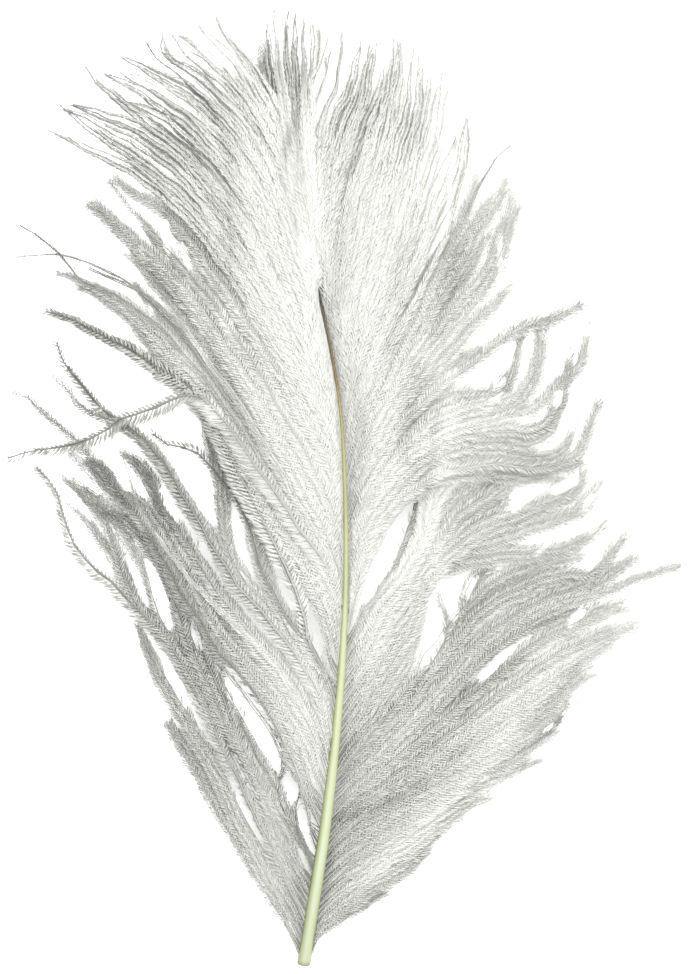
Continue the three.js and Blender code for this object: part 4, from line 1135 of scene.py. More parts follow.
TUFTS["right_lock_6"] = [
    ((-149, -140), 9, (.59, .59, .84, .54, .54), "short", [
        (3, -131, 1.8), (12, -119, 3), (20, -108, 3.2), (27, -97, 2.7), (32, -86, 2.4), (35, -75, 2.4),
        (37, -64, 2.4), (39, -54, 2.2), (44, -46, 2.2), (52, -41, 2.7), (61, -38, 2.7), (70, -36, 1.8)]),
    ((-140, -131), 9, (.64, .64, .74, .54, .49, .49), "blunt", [
        (4, -122, 2), (12, -109, 3.2), (20, -97, 3.2), (27, -85, 3), (32, -73, 3), (36, -62, 2.7),
        (40, -52, 2.7), (46, -44, 2.7), (55, -39, 3.2), (66, -36.5, 3.8), (78, -35, 4.1), (90, -33.5, 3.8),
        (102, -32.5, 3.2), (113, -31, 2.7), (122, -27, 2.7), (130, -21, 2.7), (136, -15.5, 1.8)]),
    ((-131, -122), 9, (.69, .69, .74, .59, .54, .49), "blunt", [
        (5, -113, 2), (13, -99, 3.5), (21, -87, 3.8), (28, -75, 3.8), (34, -63, 3.5), (39, -51, 3.2),
        (46, -41, 3.2), (56, -33, 3.8), (68, -28, 4.3), (81, -24, 4.1), (93, -20, 3.5), (105, -17, 3),
        (115, -13.5, 2.7), (123, -8.5, 2.4), (129, -2, 2.4), (134, 6, 1.8)]),
    ((-122, -112), 10, (.74, .74, .74, .64, .54, .49), "blunt", [
        (5, -104, 2), (13, -90, 3.8), (21, -77, 4.1), (29, -64, 4.1), (36, -52, 4.1), (43, -41, 4.1),
        (52, -32, 4.1), (63, -24, 4.6), (75, -18, 4.6), (87, -14, 3.8), (98, -10, 3.2), (108, -6.5, 3),
        (117, -2, 2.4), (122, 5, 2.4), (125, 14, 1.8)]),
    ((-113, -109), 6, (.72, .72, .62, .52, .52), "blunt", [
        (6, -98, 1.5), (18, -80, 2.5), (30, -62, 3), (42, -46, 3), (55, -33, 3), (70, -24, 3), (85, -17, 3),
        (98, -7, 3), (108, -1, 3), (116, 4, 2)]),
]

# %% Right locks 7 to 9, the blunt fingers
TUFTS["right_lock_7"] = [
    ((-112, -103), 9, (.75, .75, .65, .55, .5), "soft", [
        (6, -95, 2), (14, -81, 3.1), (22, -68, 3.4), (31, -56, 3.4), (39, -44, 3.4), (48, -33, 3.6),
        (58, -23, 3.8), (68, -15, 3.6), (77, -9, 3.1), (83, -3, 1.7)]),
    ((-104, -96), 8, (.75, .75, .75, .65, .55), "soft", [
        (6, -87, 1.8), (14, -74, 2.6), (23, -62, 2.9), (32, -50, 2.9), (40, -39, 3.1), (48, -27, 3.4),
        (57, -16, 3.6), (67, -7, 3.6), (77, -1, 3.4), (86, 4, 2.9), (96, 7, 2.2), (107, 8, 1.6)]),
    ((-97, -89), 8, (.75, .85, 1, .85, .65, .55), "soft", [
        (6, -79, 1.5), (13, -67, 1.9), (21, -56, 1.9), (29, -46, 1.9), (36, -36, 2.2), (40, -24, 2.4),
        (43, -12, 2.9), (48, 0, 3.4), (55, 9, 3.6), (64, 13, 3.6), (75, 13, 3.4), (86, 12, 2.9),
        (98, 11, 2.2), (110, 11, 1.6)]),
    ((-90, -82), 6, (.95, .95, 1, 1, .95, .85), "soft", [
        (6, -72, 1), (13, -60, 1.2), (22, -49, 1.2), (30, -39, 1.4), (36, -28, 1.7), (39.5, -15, 1.8),
        (41, -1, 2.2), (43, 14, 2.4), (46, 29, 2.4), (50, 44, 2.4), (54, 58, 1.9)], {"level": .9}),
    ((-84, -77), 8, (.65, .55, .47, .55, .75), "short", [
        (5, -68, 1), (11, -57, 1.4), (18, -45, 2.2), (25, -34, 2.6), (30, -23, 2.8), (34, -11, 2.8),
        (38, 1, 2.8), (41, 14, 2.8), (44, 28, 2.4)]),
    ((-108, -102), 7, (.9, .85, .65, .5, .5), "soft", [
        (10, -88, 2), (22, -66, 3), (36, -47, 3.4), (50, -33, 3.6), (62, -22, 4), (72, -13, 4), (80, -6, 4),
        (86, 0, 3)]),
    ((-100, -95), 6, (.9, .85, .65, .5, .5), "soft", [
        (9, -82, 2), (20, -64, 3), (33, -46, 3), (46, -29, 3), (58, -14, 3), (68, -3, 3), (78, 4, 3),
        (88, 7, 2)]),
    ((-98, -92), 7, (.9, .9, .8, .6, .55), "soft", [
        (8, -80, 1.5), (18, -64, 2), (29, -48, 2.4), (39, -32, 3), (47, -17, 3.4), (55, -6, 3.8), (64, 1, 4),
        (74, 4, 4), (84, 6, 3)]),
]
TUFTS["right_lock_8"] = [
    ((-74, -63), 9, (.86, .86, .8, .7, .6, .45), "soft", [
        (2.5, -54, 1.2), (5.5, -41, 2.2), (10, -28, 2.6), (16, -15, 2.9), (24, -3, 3.1), (33, 8, 3.6),
        (44, 15, 3.8), (56, 18, 4.1), (69, 18, 4.1), (82, 16, 3.6), (95, 14, 3.1), (107, 12, 2.6),
        (117, 13, 1.9), (124, 16, 1.4)]),
    ((-63, -54), 9, (.86, .86, .86, .8, .6, .45), "soft", [
        (4, -42, 2), (9, -27, 2.9), (16, -12, 3.1), (26, 1, 3.4), (37, 11, 3.6), (50, 18, 3.8), (64, 21, 4.1),
        (78, 20, 3.8), (92, 18, 3.4), (104, 18, 2.9), (113, 22, 2.4), (118, 31, 1.9), (120, 39, 1.4)]),
    ((-55, -50), 5, (.86, .86, .8, .6, .5, .3), "blunt", [
        (6, -34, 1.2), (17, -16, 1.7), (31, -1, 1.7), (47, 9, 1.7), (64, 14, 1.9), (82, 14, 1.9),
        (99, 13, 1.9), (112, 15, 1.7), (120.5, 20, 1.6), (125.5, 29, 1.4), (129, 39, 1.4), (133, 49, 1.4)]),
    ((-50, -42), 9, (.86, .86, .86, .8, .6, .4), "soft", [
        (5, -28, 2.2), (15, -10, 3.4), (28, 6, 3.6), (42, 17, 3.8), (57, 24, 4.1), (72, 27, 4.1),
        (86, 27, 3.8), (98, 27, 3.4), (106, 32, 2.9), (110, 42, 1.9), (112, 50, 1.4)]),
    ((-76, -70), 6, (1, .95, .85, .65, .5), "soft", [
        (3, -58, 1), (8, -42, 1.6), (16, -26, 2), (26, -10, 2.4), (38, 2, 2.6), (52, 8, 2.6), (67, 9, 2.8),
        (82, 7.5, 3), (96, 6, 3), (108, 6, 2.4), (118, 9, 1.5)]),
]
TUFTS["right_lock_9"] = [
    ((-43, -37), 6, (.86, .86, .86, .7, .4, .3), "blunt", [
        (7, -19, 1.6), (19, 0, 2.5), (33, 15, 2.8), (48, 25, 3), (64, 31, 3), (80, 32, 2.8), (95, 32, 2.5),
        (104, 36, 2), (109, 44, 1.8), (113, 55, 1.6), (115.5, 66, 1.3), (116.8, 75, 1.3)]),
    ((-39, -34), 5, (.86, .86, .86, .7, .4, .35), "blunt", [
        (7, -14, 1.4), (20, 5, 2.2), (34, 20, 2.5), (50, 30, 2.5), (66, 36, 2.5), (82, 39, 2.2), (95, 42, 2),
        (103, 49, 1.8), (110, 56, 1.6), (117, 60.5, 1.5), (122, 66, 1.6), (124, 76, 1.8), (125.5, 90, 1.3)]),
    ((-35, -28), 10, (.86, .86, .86, .7, .5, .4), "soft", [
        (8, -11, 2), (20, 8, 3.2), (34, 24, 3.5), (49, 35, 3.8), (64, 41, 3.8), (78, 43, 3.5), (88, 47, 3.4),
        (95, 56, 3.6), (99, 67, 3.6), (101, 79, 3.4), (103, 92, 2.4)]),
    ((-29, -22), 9, (.86, .86, .86, .7, .5, .4), "soft", [
        (8, -6, 2.2), (20, 13, 3.5), (34, 30, 3.8), (48, 41, 4), (62, 47, 4), (73, 48, 3.5), (80, 52, 3.4),
        (84.5, 60, 3.2), (87.5, 71, 3), (90, 82, 2)]),
    ((-25, -18), 7, (.86, .86, .86, .7, .5, .4), "soft", [
        (8, -1, 2.2), (20, 18, 3.5), (33, 34, 3.8), (46, 44, 3.8), (58, 49, 3.8), (69, 50, 3), (77, 52, 2.2),
        (83, 57, 2), (87, 64, 1.3)]),
    ((-21, -17), 5, (.86, .86, .8, .5, .35, .3), "blunt", [
        (7, 3, 1.2), (19, 23, 1.8), (32, 40, 1.8), (45, 53, 1.8), (57, 62, 1.8), (67, 69, 1.8), (76, 76, 2.2),
        (85, 82, 2.4), (95, 86.5, 2.6), (105, 89, 2.6), (115, 94, 2.4), (125, 99.5, 2)]),
]

# %% Right locks 10 and 11, beside the crown
TUFTS["right_lock_10"] = [
    ((-17, -10), 9, (.86, .86, .86, .8, .58), "soft", [
        (7, 6, 2.4), (18, 25, 3.4), (31, 41, 3.4), (43, 54, 3.4), (54, 63, 3.4), (63, 70, 2.8),
        (70, 76, 1.6)]),
    ((-14, -8), 7, (.86, .86, .86, .7, .53), "blunt", [
        (7, 9, 2), (19, 29, 2.8), (32, 48, 2.8), (44, 63, 2.8), (55, 75, 2.5), (64, 85, 2.3), (72, 94, 2.1),
        (80, 102, 1.6), (88, 110, 1.2)]),
    ((-11, -5), 5, (.86, .86, .8, .5, .5), "blunt", [
        (7, 12, 1.4), (18, 33, 2.1), (30, 53, 2.1), (42, 70, 2.1), (53, 84, 1.8), (63, 96, 1.8),
        (71, 105, 1.7), (77, 114, 1.6), (81, 124, 1.5), (84.5, 135, 1.4), (87.5, 144, 1.2),
        (89.3, 151, 1.2)]),
    ((-8, -2), 6, (.86, .86, .8, .5, .5), "blunt", [
        (6, 15, 1.8), (17, 37, 2.3), (29, 58, 2.3), (41, 76, 2.3), (52, 91, 2.1), (62, 103, 2.1),
        (70, 113, 1.8), (76, 124, 1.7), (80, 135, 1.6), (83, 146, 1.4), (87, 158, 1.2)]),
    ((-5, 1), 7, (.86, .86, .86, .6, .5), "blunt", [
        (6, 18, 2.2), (17, 40, 3), (29, 62, 3), (41, 82, 2.8), (51, 98, 2.5), (60, 112, 2.3), (67, 123, 2.1),
        (72, 132, 1.8), (75.5, 139, 1.4)]),
    ((-2, 4), 5, (.86, .86, .86, .6, .5), "blunt", [
        (6, 22, 1.6), (17, 45, 2.1), (29, 68, 2.1), (41, 89, 2.1), (52, 108, 1.8), (61, 124, 1.6),
        (68, 136, 1.5), (75, 146, 1.4), (80, 154, 1.3), (83, 167, 1.2)]),
    ((1, 7), 7, (.86, .86, .86, .7, .5), "blunt", [
        (6, 26, 2.2), (17, 49, 3), (29, 72, 3), (40, 94, 2.8), (50, 113, 2.5), (59, 129, 2.1), (67, 142, 1.7),
        (73, 151, 1.6), (77, 159, 1.2)]),
    ((3, 6), 2, (.86, .86, .8, .5, .48), "loose", [
        (6, 28, .6), (17, 52, .6), (29, 75, .6), (40, 97, .6), (50, 118, .6), (59, 138, .5), (65, 152, .4),
        (69, 162, .3), (75, 172, .3), (85.5, 182, .2)], {"fringe": (.3, .3)}),
    ((7, 15), 8, (.86, .86, .86, .7, .58), "blunt", [
        (5, 33, 2.4), (15, 55, 3.2), (26, 77, 3.2), (37, 98, 3), (47, 117, 2.5), (55, 133, 2.1),
        (61, 147, 1.7), (65, 158, 1.6), (67.5, 167, 1.2)]),
]
TUFTS["right_lock_11"] = [
    ((11, 18), 7, (.86, .79, .79, .55, .5), "blunt", [
        (4, 36, 2), (13, 58, 2.9), (23, 79, 2.9), (33, 99, 2.6), (42, 115, 2.4), (49, 127, 2.2),
        (55, 139, 2)]),
    ((15, 21), 8, (.86, .79, .79, .75, .48), "needle", [
        (4, 42, 2), (13, 66, 2.6), (23, 90, 2.9), (33, 112, 2.9), (42, 132, 2.4), (50, 150, 3.3),
        (56, 166, 3), (59, 180, 2.3), (61.5, 196, .9)]),
    ((9, 14), 4, (.86, .79, .73, .55, .46), "needle", [
        (5, 38, .8), (16, 62, 1), (28, 86, 1), (39, 107, 1), (48, 126, 1), (54, 144, 1), (59, 162, 1),
        (62, 178, .8), (63, 190, .3)]),
    ((18, 24), 7, (.86, .79, .79, .85, .5), "needle", [
        (4, 46, 2), (13, 71, 2.9), (22, 96, 3.1), (31, 119, 3.1), (39, 141, 2.6), (46, 159, 3.3),
        (52, 173, 2.7), (56, 187, .6)]),
    ((22, 29), 8, (.86, .79, .79, .9, .5), "needle", [
        (3, 52, 2), (12, 77, 2.9), (21, 102, 3.1), (29, 126, 3.1), (36, 149, 2.6), (43, 170, 3.3),
        (48, 190, 2.7), (51, 211, .6)]),
    ((27, 34), 8, (.86, .79, .79, .9, .5), "needle", [
        (3, 58, 2), (11, 84, 2.9), (19, 109, 3.1), (27, 134, 3.1), (34, 158, 2.6), (40, 180, 3.3),
        (45, 200, 2.7), (48, 220, .6)]),
    ((32, 40), 8, (.86, .79, .79, .9, .5), "needle", [
        (2, 64, 2.2), (9, 90, 3.1), (17, 116, 3.3), (25, 141, 3.1), (31, 165, 2.6), (37, 187, 3.3),
        (40, 204, 2.7), (43, 219, .6)]),
]
print(len(TUFTS), "locks are described so far")

# %% [markdown]
# ## The crown
#
# Round the end of the shaft the barbs fan out like spread fingers. They are the sleekest of the plume: their
# barbules cling to them, so that each ends in a fine needle.

# %% Crown locks 1 to 4, from the left side
TUFTS["crown_lock_1"] = [
    ((20, 26), 7, (1, 1, .88, .53, .35, .25), "needle", [
        (-13, 48, 2.2), (-22, 70, 2.8), (-32, 92, 2.8), (-42, 114, 2.8), (-53, 135, 2.8), (-66, 155, 2.8),
        (-80, 172, 2.8), (-93, 184, 2.6), (-106, 194, 3.5), (-118, 203, 2.7), (-128, 212, 1.9),
        (-134, 218, 1.1), (-138, 223, .2)]),
    ((26, 31), 6, (1, 1, .88, .58, .35, .25), "needle", [
        (-13, 54, 2.2), (-22, 77, 2.8), (-31, 100, 2.8), (-41, 123, 2.8), (-52, 144, 2.8), (-65, 163, 2.8),
        (-79, 178, 2.8), (-92, 190, 3.8), (-104, 198, 3), (-115, 203, 2.2), (-125, 206, .5)]),
    ((30, 37), 8, (1, 1, .9, .63, .4, .3), "needle", [
        (-14, 60, 2.4), (-22, 84, 2.8), (-31, 108, 3), (-41, 131, 3), (-52, 152, 3), (-65, 171, 3),
        (-78, 186, 3), (-91, 198, 4.1), (-104, 207, 3.3), (-116, 214, 2.2), (-128, 220, .4)]),
    ((36, 42), 8, (1, 1, .9, .63, .4, .3), "needle", [
        (-14, 67, 2.4), (-22, 92, 2.8), (-31, 116, 3), (-40, 139, 3), (-51, 160, 3), (-63, 178, 3),
        (-76, 193, 3), (-89, 204, 4.1), (-102, 212, 3.3), (-112, 217, 2.2), (-120, 221, .6)]),
]
TUFTS["crown_lock_2"] = [
    ((43, 50), 8, (1, 1, .95, .65, .4, .3), "needle", [
        (-15, 76, 2.4), (-22, 100, 2.8), (-30, 124, 3), (-39, 147, 3), (-49, 168, 3), (-60, 185, 3),
        (-72, 199, 3), (-84, 209, 4.1), (-97, 217, 3.3), (-109, 223, 1.9), (-120, 229, .3)]),
    ((49, 56), 8, (1, 1, 1, .7, .4, .35), "needle", [
        (-15, 84, 2.4), (-22, 108, 2.8), (-29, 132, 3), (-37, 154, 3), (-46, 174, 3), (-57, 191, 3),
        (-69, 204, 3), (-80, 214, 3.8), (-91, 223, 3), (-100, 230, 1.9), (-106, 236, .3)]),
    ((55, 59), 4, (1, 1, 1, .6, .35, .35), "needle", [
        (-16, 91, 1.5), (-22, 115, 1.8), (-29, 138, 2), (-37, 160, 2), (-46, 180, 2), (-57, 197, 2),
        (-69, 210, 1.8), (-81, 220, 2.3), (-92, 227, 1.9), (-98, 233, 1.1), (-98.5, 240, .2)]),
    ((57, 63), 8, (1, 1, 1, .8, .45, .35), "needle", [
        (-16, 96, 2.4), (-22, 120, 2.8), (-28, 143, 3), (-35, 165, 3), (-44, 185, 3), (-54, 201, 3),
        (-65, 214, 2.6), (-76, 224, 3.3), (-86, 232, 2.2), (-93, 240, .3)]),
]
TUFTS["crown_lock_3"] = [
    ((62, 69), 8, (1, 1, 1, .85, .45, .4), "needle", [
        (-17, 100, 2), (-23, 124, 2.6), (-29, 148, 3), (-35, 170, 3), (-43, 189, 3), (-53, 206, 2.6),
        (-63, 219, 2.4), (-74, 229, 2), (-82, 235, 1.2), (-89, 239, .3)]),
    ((67, 74), 9, (1, 1, 1, .9, .6, .4), "needle", [
        (-17, 104, 2), (-23, 128, 2.6), (-28, 152, 3), (-34, 174, 3), (-41, 194, 3), (-50, 211, 2.8),
        (-59, 224, 2.4), (-67, 234, 2), (-74, 240, 1.2), (-79, 245, .4)]),
    ((73, 79), 8, (1, 1, 1, .9, .7, .4), "needle", [
        (-18, 108, 2), (-23, 132, 2.6), (-28, 156, 3), (-33, 178, 3), (-39, 198, 2.8), (-47, 215, 2.4),
        (-55, 227, 2), (-62, 236, 1.4), (-66, 243, .8), (-69.5, 249, .3)]),
    ((79, 86), 9, (1, 1, 1, .9, .7, .45), "needle", [
        (-18, 112, 2), (-23, 136, 2.6), (-28, 160, 3), (-33, 182, 3), (-38, 201, 2.6), (-45, 215, 2.2),
        (-52, 226, 1.8), (-58, 234, 1.2), (-64, 240, .5)]),
]
TUFTS["crown_lock_4"] = [
    ((86, 91), 8, (1, 1, .9, .3, .2, .25), "soft", [
        (-20, 118, 1.5), (-26, 142, 2.2), (-32, 166, 2.6), (-38, 188, 2.8), (-42, 208, 2.8), (-45, 224, 2.4),
        (-46.5, 236, 1.2)]),
    ((90, 95), 8, (1, 1, .9, .3, .2, .25), "needle", [
        (-20, 121, 1.5), (-26, 146, 2.2), (-31, 170, 2.6), (-36, 193, 2.6), (-40, 213, 2.4), (-42, 230, 1.6),
        (-43, 245, .6)]),
    ((94, 99), 8, (1, 1, 1, .9, .6, .35), "needle", [
        (-21, 125, 1.5), (-25, 150, 2.2), (-29, 174, 2.4), (-33, 197, 2.4), (-36, 217, 2.2), (-38, 236, 1.2),
        (-39.5, 253, .2)], {"level": .95}),
    ((98, 103), 8, (1, .9, .4, .3, .3, .3), "needle", [
        (-21, 129, 1.5), (-25, 153, 2.2), (-28, 177, 2.4), (-30, 200, 2.4), (-32, 220, 2), (-33, 238, 1.2),
        (-31.5, 252, .2)]),
    ((101, 106), 7, (1, 1, .6, .3, .3, .3), "needle", [
        (-21, 132, 1.5), (-24, 155, 2), (-26, 178, 2), (-27, 200, 2), (-28, 220, 1.6), (-28.5, 236, 1),
        (-29, 250.5, .2)]),
    ((104, 108), 7, (1, 1, 1, .9, .5, .4), "needle", [
        (-20, 134, 1.5), (-22, 157, 2), (-23, 180, 2), (-23.5, 203, 1.6), (-24, 222, 1.2), (-24, 236, .8),
        (-24, 248, .2)], {"level": .95}),
    ((106, 111), 8, (1, 1, .95, .8, .5, .4), "needle", [
        (-19.5, 136, 1.2), (-20.5, 158, 1.8), (-21, 180, 1.8), (-20.5, 200, 1.8), (-19, 218, 2.6),
        (-17.5, 232, 3), (-17, 246, 3)]),
    ((108, 111), 5, (1, 1, .95, .8, .5, .4), "needle", [
        (-19, 138, .8), (-19.5, 160, .8), (-19.5, 182, .8), (-18, 200, 1), (-15.5, 213, 2), (-12, 224, 2.4),
        (-9, 238, 2.4)]),
]

# %% Crown locks 5 to 7, from the right side
TUFTS["crown_lock_5"] = [
    ((104, 110), 4, (.86, .86, .86, .7, .4, .42), "needle", [
        (-17, 134, .8), (-17, 158, .8), (-16, 180, .8), (-13, 198, .8), (-8, 210, .8), (-5, 222, 1),
        (-4, 232, .7), (-4, 241, .2)]),
    ((98, 107), 9, (.86, .86, .8, .5, .45, .42), "needle", [
        (-16, 130, 1.5), (-15, 154, 2.4), (-12, 176, 2.6), (-8, 194, 2.6), (-2, 208, 2.4), (2, 220, 2.7),
        (4, 229, 1.7), (6, 236, .3)]),
    ((92, 100), 9, (.86, .86, .8, .5, .45, .42), "needle", [
        (-14, 124, 1.5), (-12, 148, 2.4), (-8, 170, 2.8), (-3, 190, 2.8), (3, 206, 2.4), (7, 219, 2.5),
        (9, 228, 1.5), (10, 235, .3)]),
    ((84, 93), 9, (.86, .86, .85, .6, .5, .42), "needle", [
        (-12, 118, 1.5), (-9, 142, 2.4), (-5, 164, 2.8), (1, 185, 2.8), (7, 202, 2.4), (10, 216, 2.7),
        (12, 228, 1.7), (14, 236, .3)]),
]
TUFTS["crown_lock_6"] = [
    ((77, 85), 8, (.85, .79, .79, .53, .55, .5), "needle", [
        (-9, 108, 1.5), (-7, 132, 2.4), (-3, 156, 2.8), (3, 178, 2.8), (10, 196, 3.8), (15, 210, 2.7),
        (18, 222, .8)]),
    ((70, 78), 9, (.8, .79, .79, .73, .55, .5), "needle", [
        (-7, 100, 1.5), (-4, 125, 2.4), (1, 150, 2.8), (8, 172, 2.8), (14, 192, 2.6), (19, 208, 3),
        (22, 222, 1.9), (23, 238, .3)]),
    ((63, 71), 9, (.75, .79, .79, .79, .65, .5), "needle", [
        (-5, 92, 1.8), (-1, 118, 2.6), (4, 144, 3), (11, 168, 3), (17, 190, 2.6), (21, 208, 3),
        (24.5, 222, 1.9), (25.5, 236, .3)]),
    ((56, 64), 9, (.75, .79, .79, .79, .65, .5), "needle", [
        (-4, 86, 1.8), (1, 112, 2.8), (8, 138, 3), (14, 162, 3), (20, 184, 2.6), (24, 204, 3),
        (26.5, 220, 1.9), (27.5, 237, .3)]),
]
TUFTS["crown_lock_7"] = [
    ((50, 57), 9, (.7, .79, .79, .79, .65, .5), "needle", [
        (-2, 80, 1.8), (3, 106, 2.8), (10, 132, 3), (17, 156, 3), (22, 179, 2.6), (28, 200, 3),
        (31, 217, 1.9), (33.5, 233, .3)]),
    ((44, 51), 9, (.7, .79, .79, .79, .65, .5), "needle", [
        (-1, 74, 1.8), (5, 100, 2.8), (12, 126, 3), (19, 150, 3), (26, 174, 2.6), (32, 196, 3),
        (35, 212, 1.9), (36.5, 229, .3)]),
    ((38, 45), 9, (.75, .79, .79, .79, .65, .5), "needle", [
        (0, 68, 2), (7, 94, 2.8), (15, 120, 3), (22, 145, 3), (29, 169, 2.6), (35, 191, 3), (38, 208, 1.9),
        (38.5, 222, .3)]),
]
print(sum(row[1] for rows in TUFTS.values() for row in rows), "barbs in all")

# %% [markdown]
# ## Keratin for the barbs
#
# Barbs and barbules are bleached keratin fibres, matt and silky, with no gloss of their own. They are so thin
# that a third of the light goes through them. Each barbule carries a lightness, called tone, and a ramp turns
# that into a warm grey or a white: the greys are painted shade, where the plume lies thin or under other
# barbs, and the whites painted light. A fine noise along the plume adds the uneven wear of a real feather.

# %% Barb keratin
FIBRE_WEAR_MM = 3.0  # the size of a worn patch
WEAR_STRENGTH = 0.20
LIGHT_THROUGH = 0.3
KERATIN_IOR = 1.54
# The grey end is painted shade and the white end painted light; the noise of wear also runs through this
# ramp.
LIGHT_SHADE_AND_WEAR_TONES = [(0.0, "#82837e"), (0.25, "#b2b3ae"), (0.55, "#d2d3ce"), (1.0, "#f6f6f3")]


def barb_keratin():
    material, tree, shader = new_material("barb_keratin")
    place = add_node(tree, "ShaderNodeTexCoord").outputs["Object"]
    patches = {"Vector": place, "Scale": 1 / (FIBRE_WEAR_MM * MM), "Detail": 2.0}
    wear = add_node(tree, "ShaderNodeTexNoise", patches)
    centred = add_node(tree, "ShaderNodeMath", {0: wear.outputs["Fac"], 1: 0.5}, operation="SUBTRACT")
    tone = add_node(tree, "ShaderNodeAttribute", attribute_name="tone")
    worn = {0: centred.outputs[0], 1: WEAR_STRENGTH, 2: tone.outputs["Fac"]}
    mixed = add_node(tree, "ShaderNodeMath", worn, operation="MULTIPLY_ADD")
    ramp = add_node(tree, "ShaderNodeValToRGB", {"Fac": mixed.outputs[0]})
    fill_ramp(ramp, LIGHT_SHADE_AND_WEAR_TONES)
    colour = ramp.outputs["Color"]
    silk = {"Base Color": colour, "Roughness": 0.7, "IOR": KERATIN_IOR, "Specular IOR Level": 0.25}
    feed(tree, shader, silk)
    through = add_node(tree, "ShaderNodeBsdfTranslucent", {"Color": colour})
    layers = {"Fac": LIGHT_THROUGH, 1: shader.outputs[0], 2: through.outputs[0]}
    both = add_node(tree, "ShaderNodeMixShader", layers)
    feed(tree, tree.nodes["Material Output"], {"Surface": both.outputs[0]})
    return material


barb_material = barb_keratin()

# %% [markdown]
# ## Grow the locks
#
# Each lock's tufts are grown into one mesh, which takes the place of the lock's plain solid. The crown's
# barbs leave the shaft on the left up to its fourth lock, and on the right from there on.

# %% Grow the locks
RIGHT_ROOTED_CROWN = ("crown_lock_5", "crown_lock_6", "crown_lock_7")
triangles = 0
for name, rows in TUFTS.items():
    strips = Strips()
    side = 1 if name.startswith("right") or name in RIGHT_ROOTED_CROWN else -1
    for roots, barbs, tones, kind, line, *extra in rows:
        add_tuft(strips, side, roots, barbs, tones, kind, line, **(extra[0] if extra else {}))
    points, faces, tone = strips.arrays()
    piece = mesh_from_arrays(name.replace("lock", "barbs"), points, faces, tone, barb_material)
    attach(piece, "root")
    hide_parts(name)
    triangles += len(faces)
    print(piece.name, len(faces), "triangles")
print("the barbs have", triangles, "triangles in all")

# %% [markdown]
# ## Keratin for the quill
#
# The quill is a horny tube that was scraped clean and has dried: smooth, with a soft gloss. It is pale green
# where it is still fresh and brown where the shaft thins out in the crown. A second ramp, read from which way
# the surface faces, paints shade along both sides, darker on the left, and a painted highlight of white
# along its middle.

# %% Quill keratin
# From the butt to the shaft's end: pale green, then brown, and from 0.87 on painted lighter again, against
# the shade that falls between the barbs there.
ALONG_THE_QUILL = [
    (0.0, "#8b8672"), (0.003, "#a2a38a"), (0.008, "#b4bba0"), (0.15, "#bec6aa"), (0.5, "#bec4a2"),
    (0.75, "#b3b184"), (0.81, "#aaa270"), (0.84, "#9d885c"), (0.87, "#937c56"), (0.93, "#978460"),
    (1.0, "#a8997a"),
]
QUILL_PAINTED_SIDE_SHADE_AND_HIGHLIGHT = [
    (0.0, "#8f8f84"), (0.05, "#b2b49a"), (0.16, "#d6d9bc"), (0.34, "#eceedd"), (0.44, "#ffffff"),
    (0.6, "#ffffff"), (0.75, "#fafaec"), (0.92, "#f2f3dd"), (0.97, "#c8c8ba"), (1.0, "#8f8f86"),
]


def quill_ramp(tree, vector, axis, low, high, stops):
    """A colour ramp over one axis of a vector, from low to high."""
    split = add_node(tree, "ShaderNodeSeparateXYZ", {"Vector": vector})
    spread = {"Value": split.outputs[axis], "From Min": low, "From Max": high}
    share = add_node(tree, "ShaderNodeMapRange", spread)
    ramp = add_node(tree, "ShaderNodeValToRGB", {"Fac": share.outputs[0]})
    fill_ramp(ramp, stops)
    return ramp.outputs["Color"]


def quill_keratin():
    material, tree, shader = new_material("quill_keratin")
    place = add_node(tree, "ShaderNodeTexCoord").outputs
    colour = quill_ramp(tree, place["Object"], "Y", BUTT_Y * MM, SHAFT_END_Y * MM, ALONG_THE_QUILL)
    # painted shade on the quill's sides and a painted highlight along its middle
    painted_side_shade_and_highlight = quill_ramp(tree, place["Normal"], "X", -1.0, 1.0, QUILL_PAINTED_SIDE_SHADE_AND_HIGHLIGHT)
    shaded = add_node(tree, "ShaderNodeVectorMath", {0: colour, 1: painted_side_shade_and_highlight}, operation="MULTIPLY")
    feed(tree, shader, {"Base Color": shaded.outputs[0], "Roughness": 0.38, "IOR": KERATIN_IOR})
    return material


print(len(ALONG_THE_QUILL), "colours along the quill")

# %% [markdown]
# ## Quill
#
# The quill was cut straight across, so the tube's wall shows as a rim round dry pith. It is one lathe-like
# mesh: rings of points along the shaft's line, and a few more rings that turn over the rim and down to the
# pith. It is a little flatter than it is wide, as a rachis is.

# %% Quill
QUILL_RINGS = 160
QUILL_SIDES = 28
WALL = 0.8
FLATNESS = 0.96  # height over width
# how far in from the outer wall and how far along from the cut the rim's rings are
RIM = [
    (2.6, 2.4), (WALL + 0.7, 2.4), (WALL + 0.6, 0.4), (WALL + 0.4, 0.0),  # the pith and the hollow's wall
    (0.9, 0.0), (0.5, 0.2), (0.2, 0.6),  # over the rim, rounded by wear
]


def make_quill():
    inset, cut_back = np.array(RIM).T
    ys = np.concatenate([BUTT_Y + cut_back, np.linspace(BUTT_Y + 1.0, SHAFT_END_Y, QUILL_RINGS)])
    inward = np.concatenate([inset, np.zeros(QUILL_RINGS)])
    x, height, width = shaft_at(ys)
    row_y = SHAFT_ROWS[:, 1]
    direction = unit(np.column_stack([np.gradient(SHAFT_ROWS[:, k], row_y) for k in (0, 1, 2)]))
    aside, up = aside_and_up(unit(hermite(row_y, direction, ys)))
    radius = np.maximum(width / 2 - inward, 0.02)[:, None]
    points, faces = tube(np.column_stack([x, ys, height]), aside, up * FLATNESS, radius, QUILL_SIDES)
    piece = mesh_from_arrays("shaft", points, faces, None, quill_keratin())
    piece.data.shade_smooth()
    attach(piece, "root")
    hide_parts("quill")
    return piece


quill = make_quill()
print("the quill has", len(quill.data.polygons), "triangles")

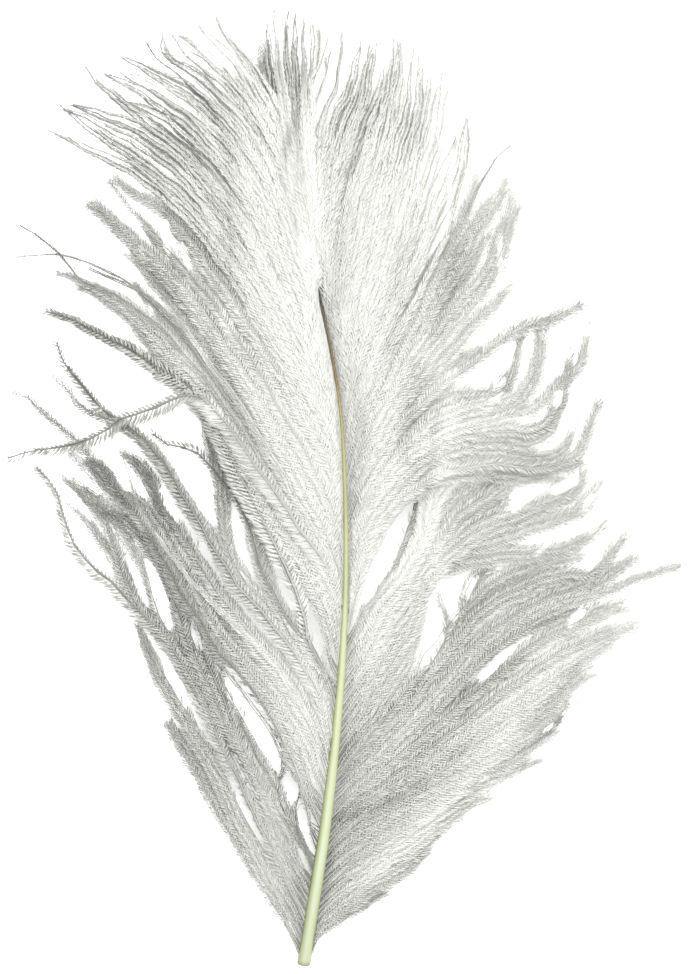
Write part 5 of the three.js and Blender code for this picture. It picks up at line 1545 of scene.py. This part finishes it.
# %% [markdown]
# ## Table, light and camera
#
# A plain white table, light that comes softly from all over a white room with a little more from the upper
# right, and a long lens straight above the plume, so that nothing is foreshortened.

# %% Table
TABLE_HALF = 4.0  # metres
TABLE_GLOW = 0.45  # lifts the white card to the white of the room, as a lit table does


def make_table():
    mesh = bpy.data.meshes.new("table")
    corners = [(x * TABLE_HALF, y * TABLE_HALF, 0) for x, y in ((-1, -1), (1, -1), (1, 1), (-1, 1))]
    mesh.from_pydata(corners, [], [(0, 1, 2, 3)])
    material, tree, shader = new_material("white_card")
    feed(tree, shader, {"Base Color": linear("#fafafa"), "Roughness": 0.9, "Specular IOR Level": 0.1})
    feed(tree, shader, {"Emission Color": linear("#ffffff"), "Emission Strength": TABLE_GLOW})
    mesh.materials.append(material)
    table = bpy.data.objects.new("table", mesh)
    bpy.context.scene.collection.objects.link(table)
    return table


make_table()

# %% Light
ROOM_STRENGTH = 1.22
world = bpy.data.worlds.new("soft_room")
world.use_nodes = True
room = {"Color": linear("#ffffff"), "Strength": ROOM_STRENGTH}
feed(world.node_tree, world.node_tree.nodes["Background"], room)
bpy.context.scene.world = world


def add_softbox(name, place, size, watts):
    """A square light at a place in metres that faces the middle of the table."""
    light = bpy.data.lights.new(name, "AREA")
    light.shape = "SQUARE"
    light.size = size
    light.energy = watts
    lamp = bpy.data.objects.new(name, light)
    lamp.location = place
    lamp.rotation_euler = (-Vector(place)).to_track_quat("-Z", "Y").to_euler()
    bpy.context.scene.collection.objects.link(lamp)
    return lamp


add_softbox("key_light", (0.2, 0.8, 1.7), 0.9, 20)

# %% Camera
PICTURE_HEIGHT_PX = 974
PLUME_HEIGHT_PX = 950
PLUME_HEIGHT_MM = 500
LENS_MM = 150
SENSOR_MM = 36
camera_data = bpy.data.cameras.new("camera")
camera_data.sensor_width = SENSOR_MM
camera_data.lens = LENS_MM
camera_data.clip_end = 50
camera = bpy.data.objects.new("camera", camera_data)
picture_height_mm = PICTURE_HEIGHT_PX * PLUME_HEIGHT_MM / PLUME_HEIGHT_PX
camera.location = (0.0005, 0.0018, picture_height_mm * MM * LENS_MM / SENSOR_MM + 0.004)
bpy.context.scene.collection.objects.link(camera)
bpy.context.scene.camera = camera
bpy.context.scene.view_settings.view_transform = "Standard"
bpy.context.scene.view_settings.look = "None"
print("the camera is", round(camera.location.z, 2), "m over the table")
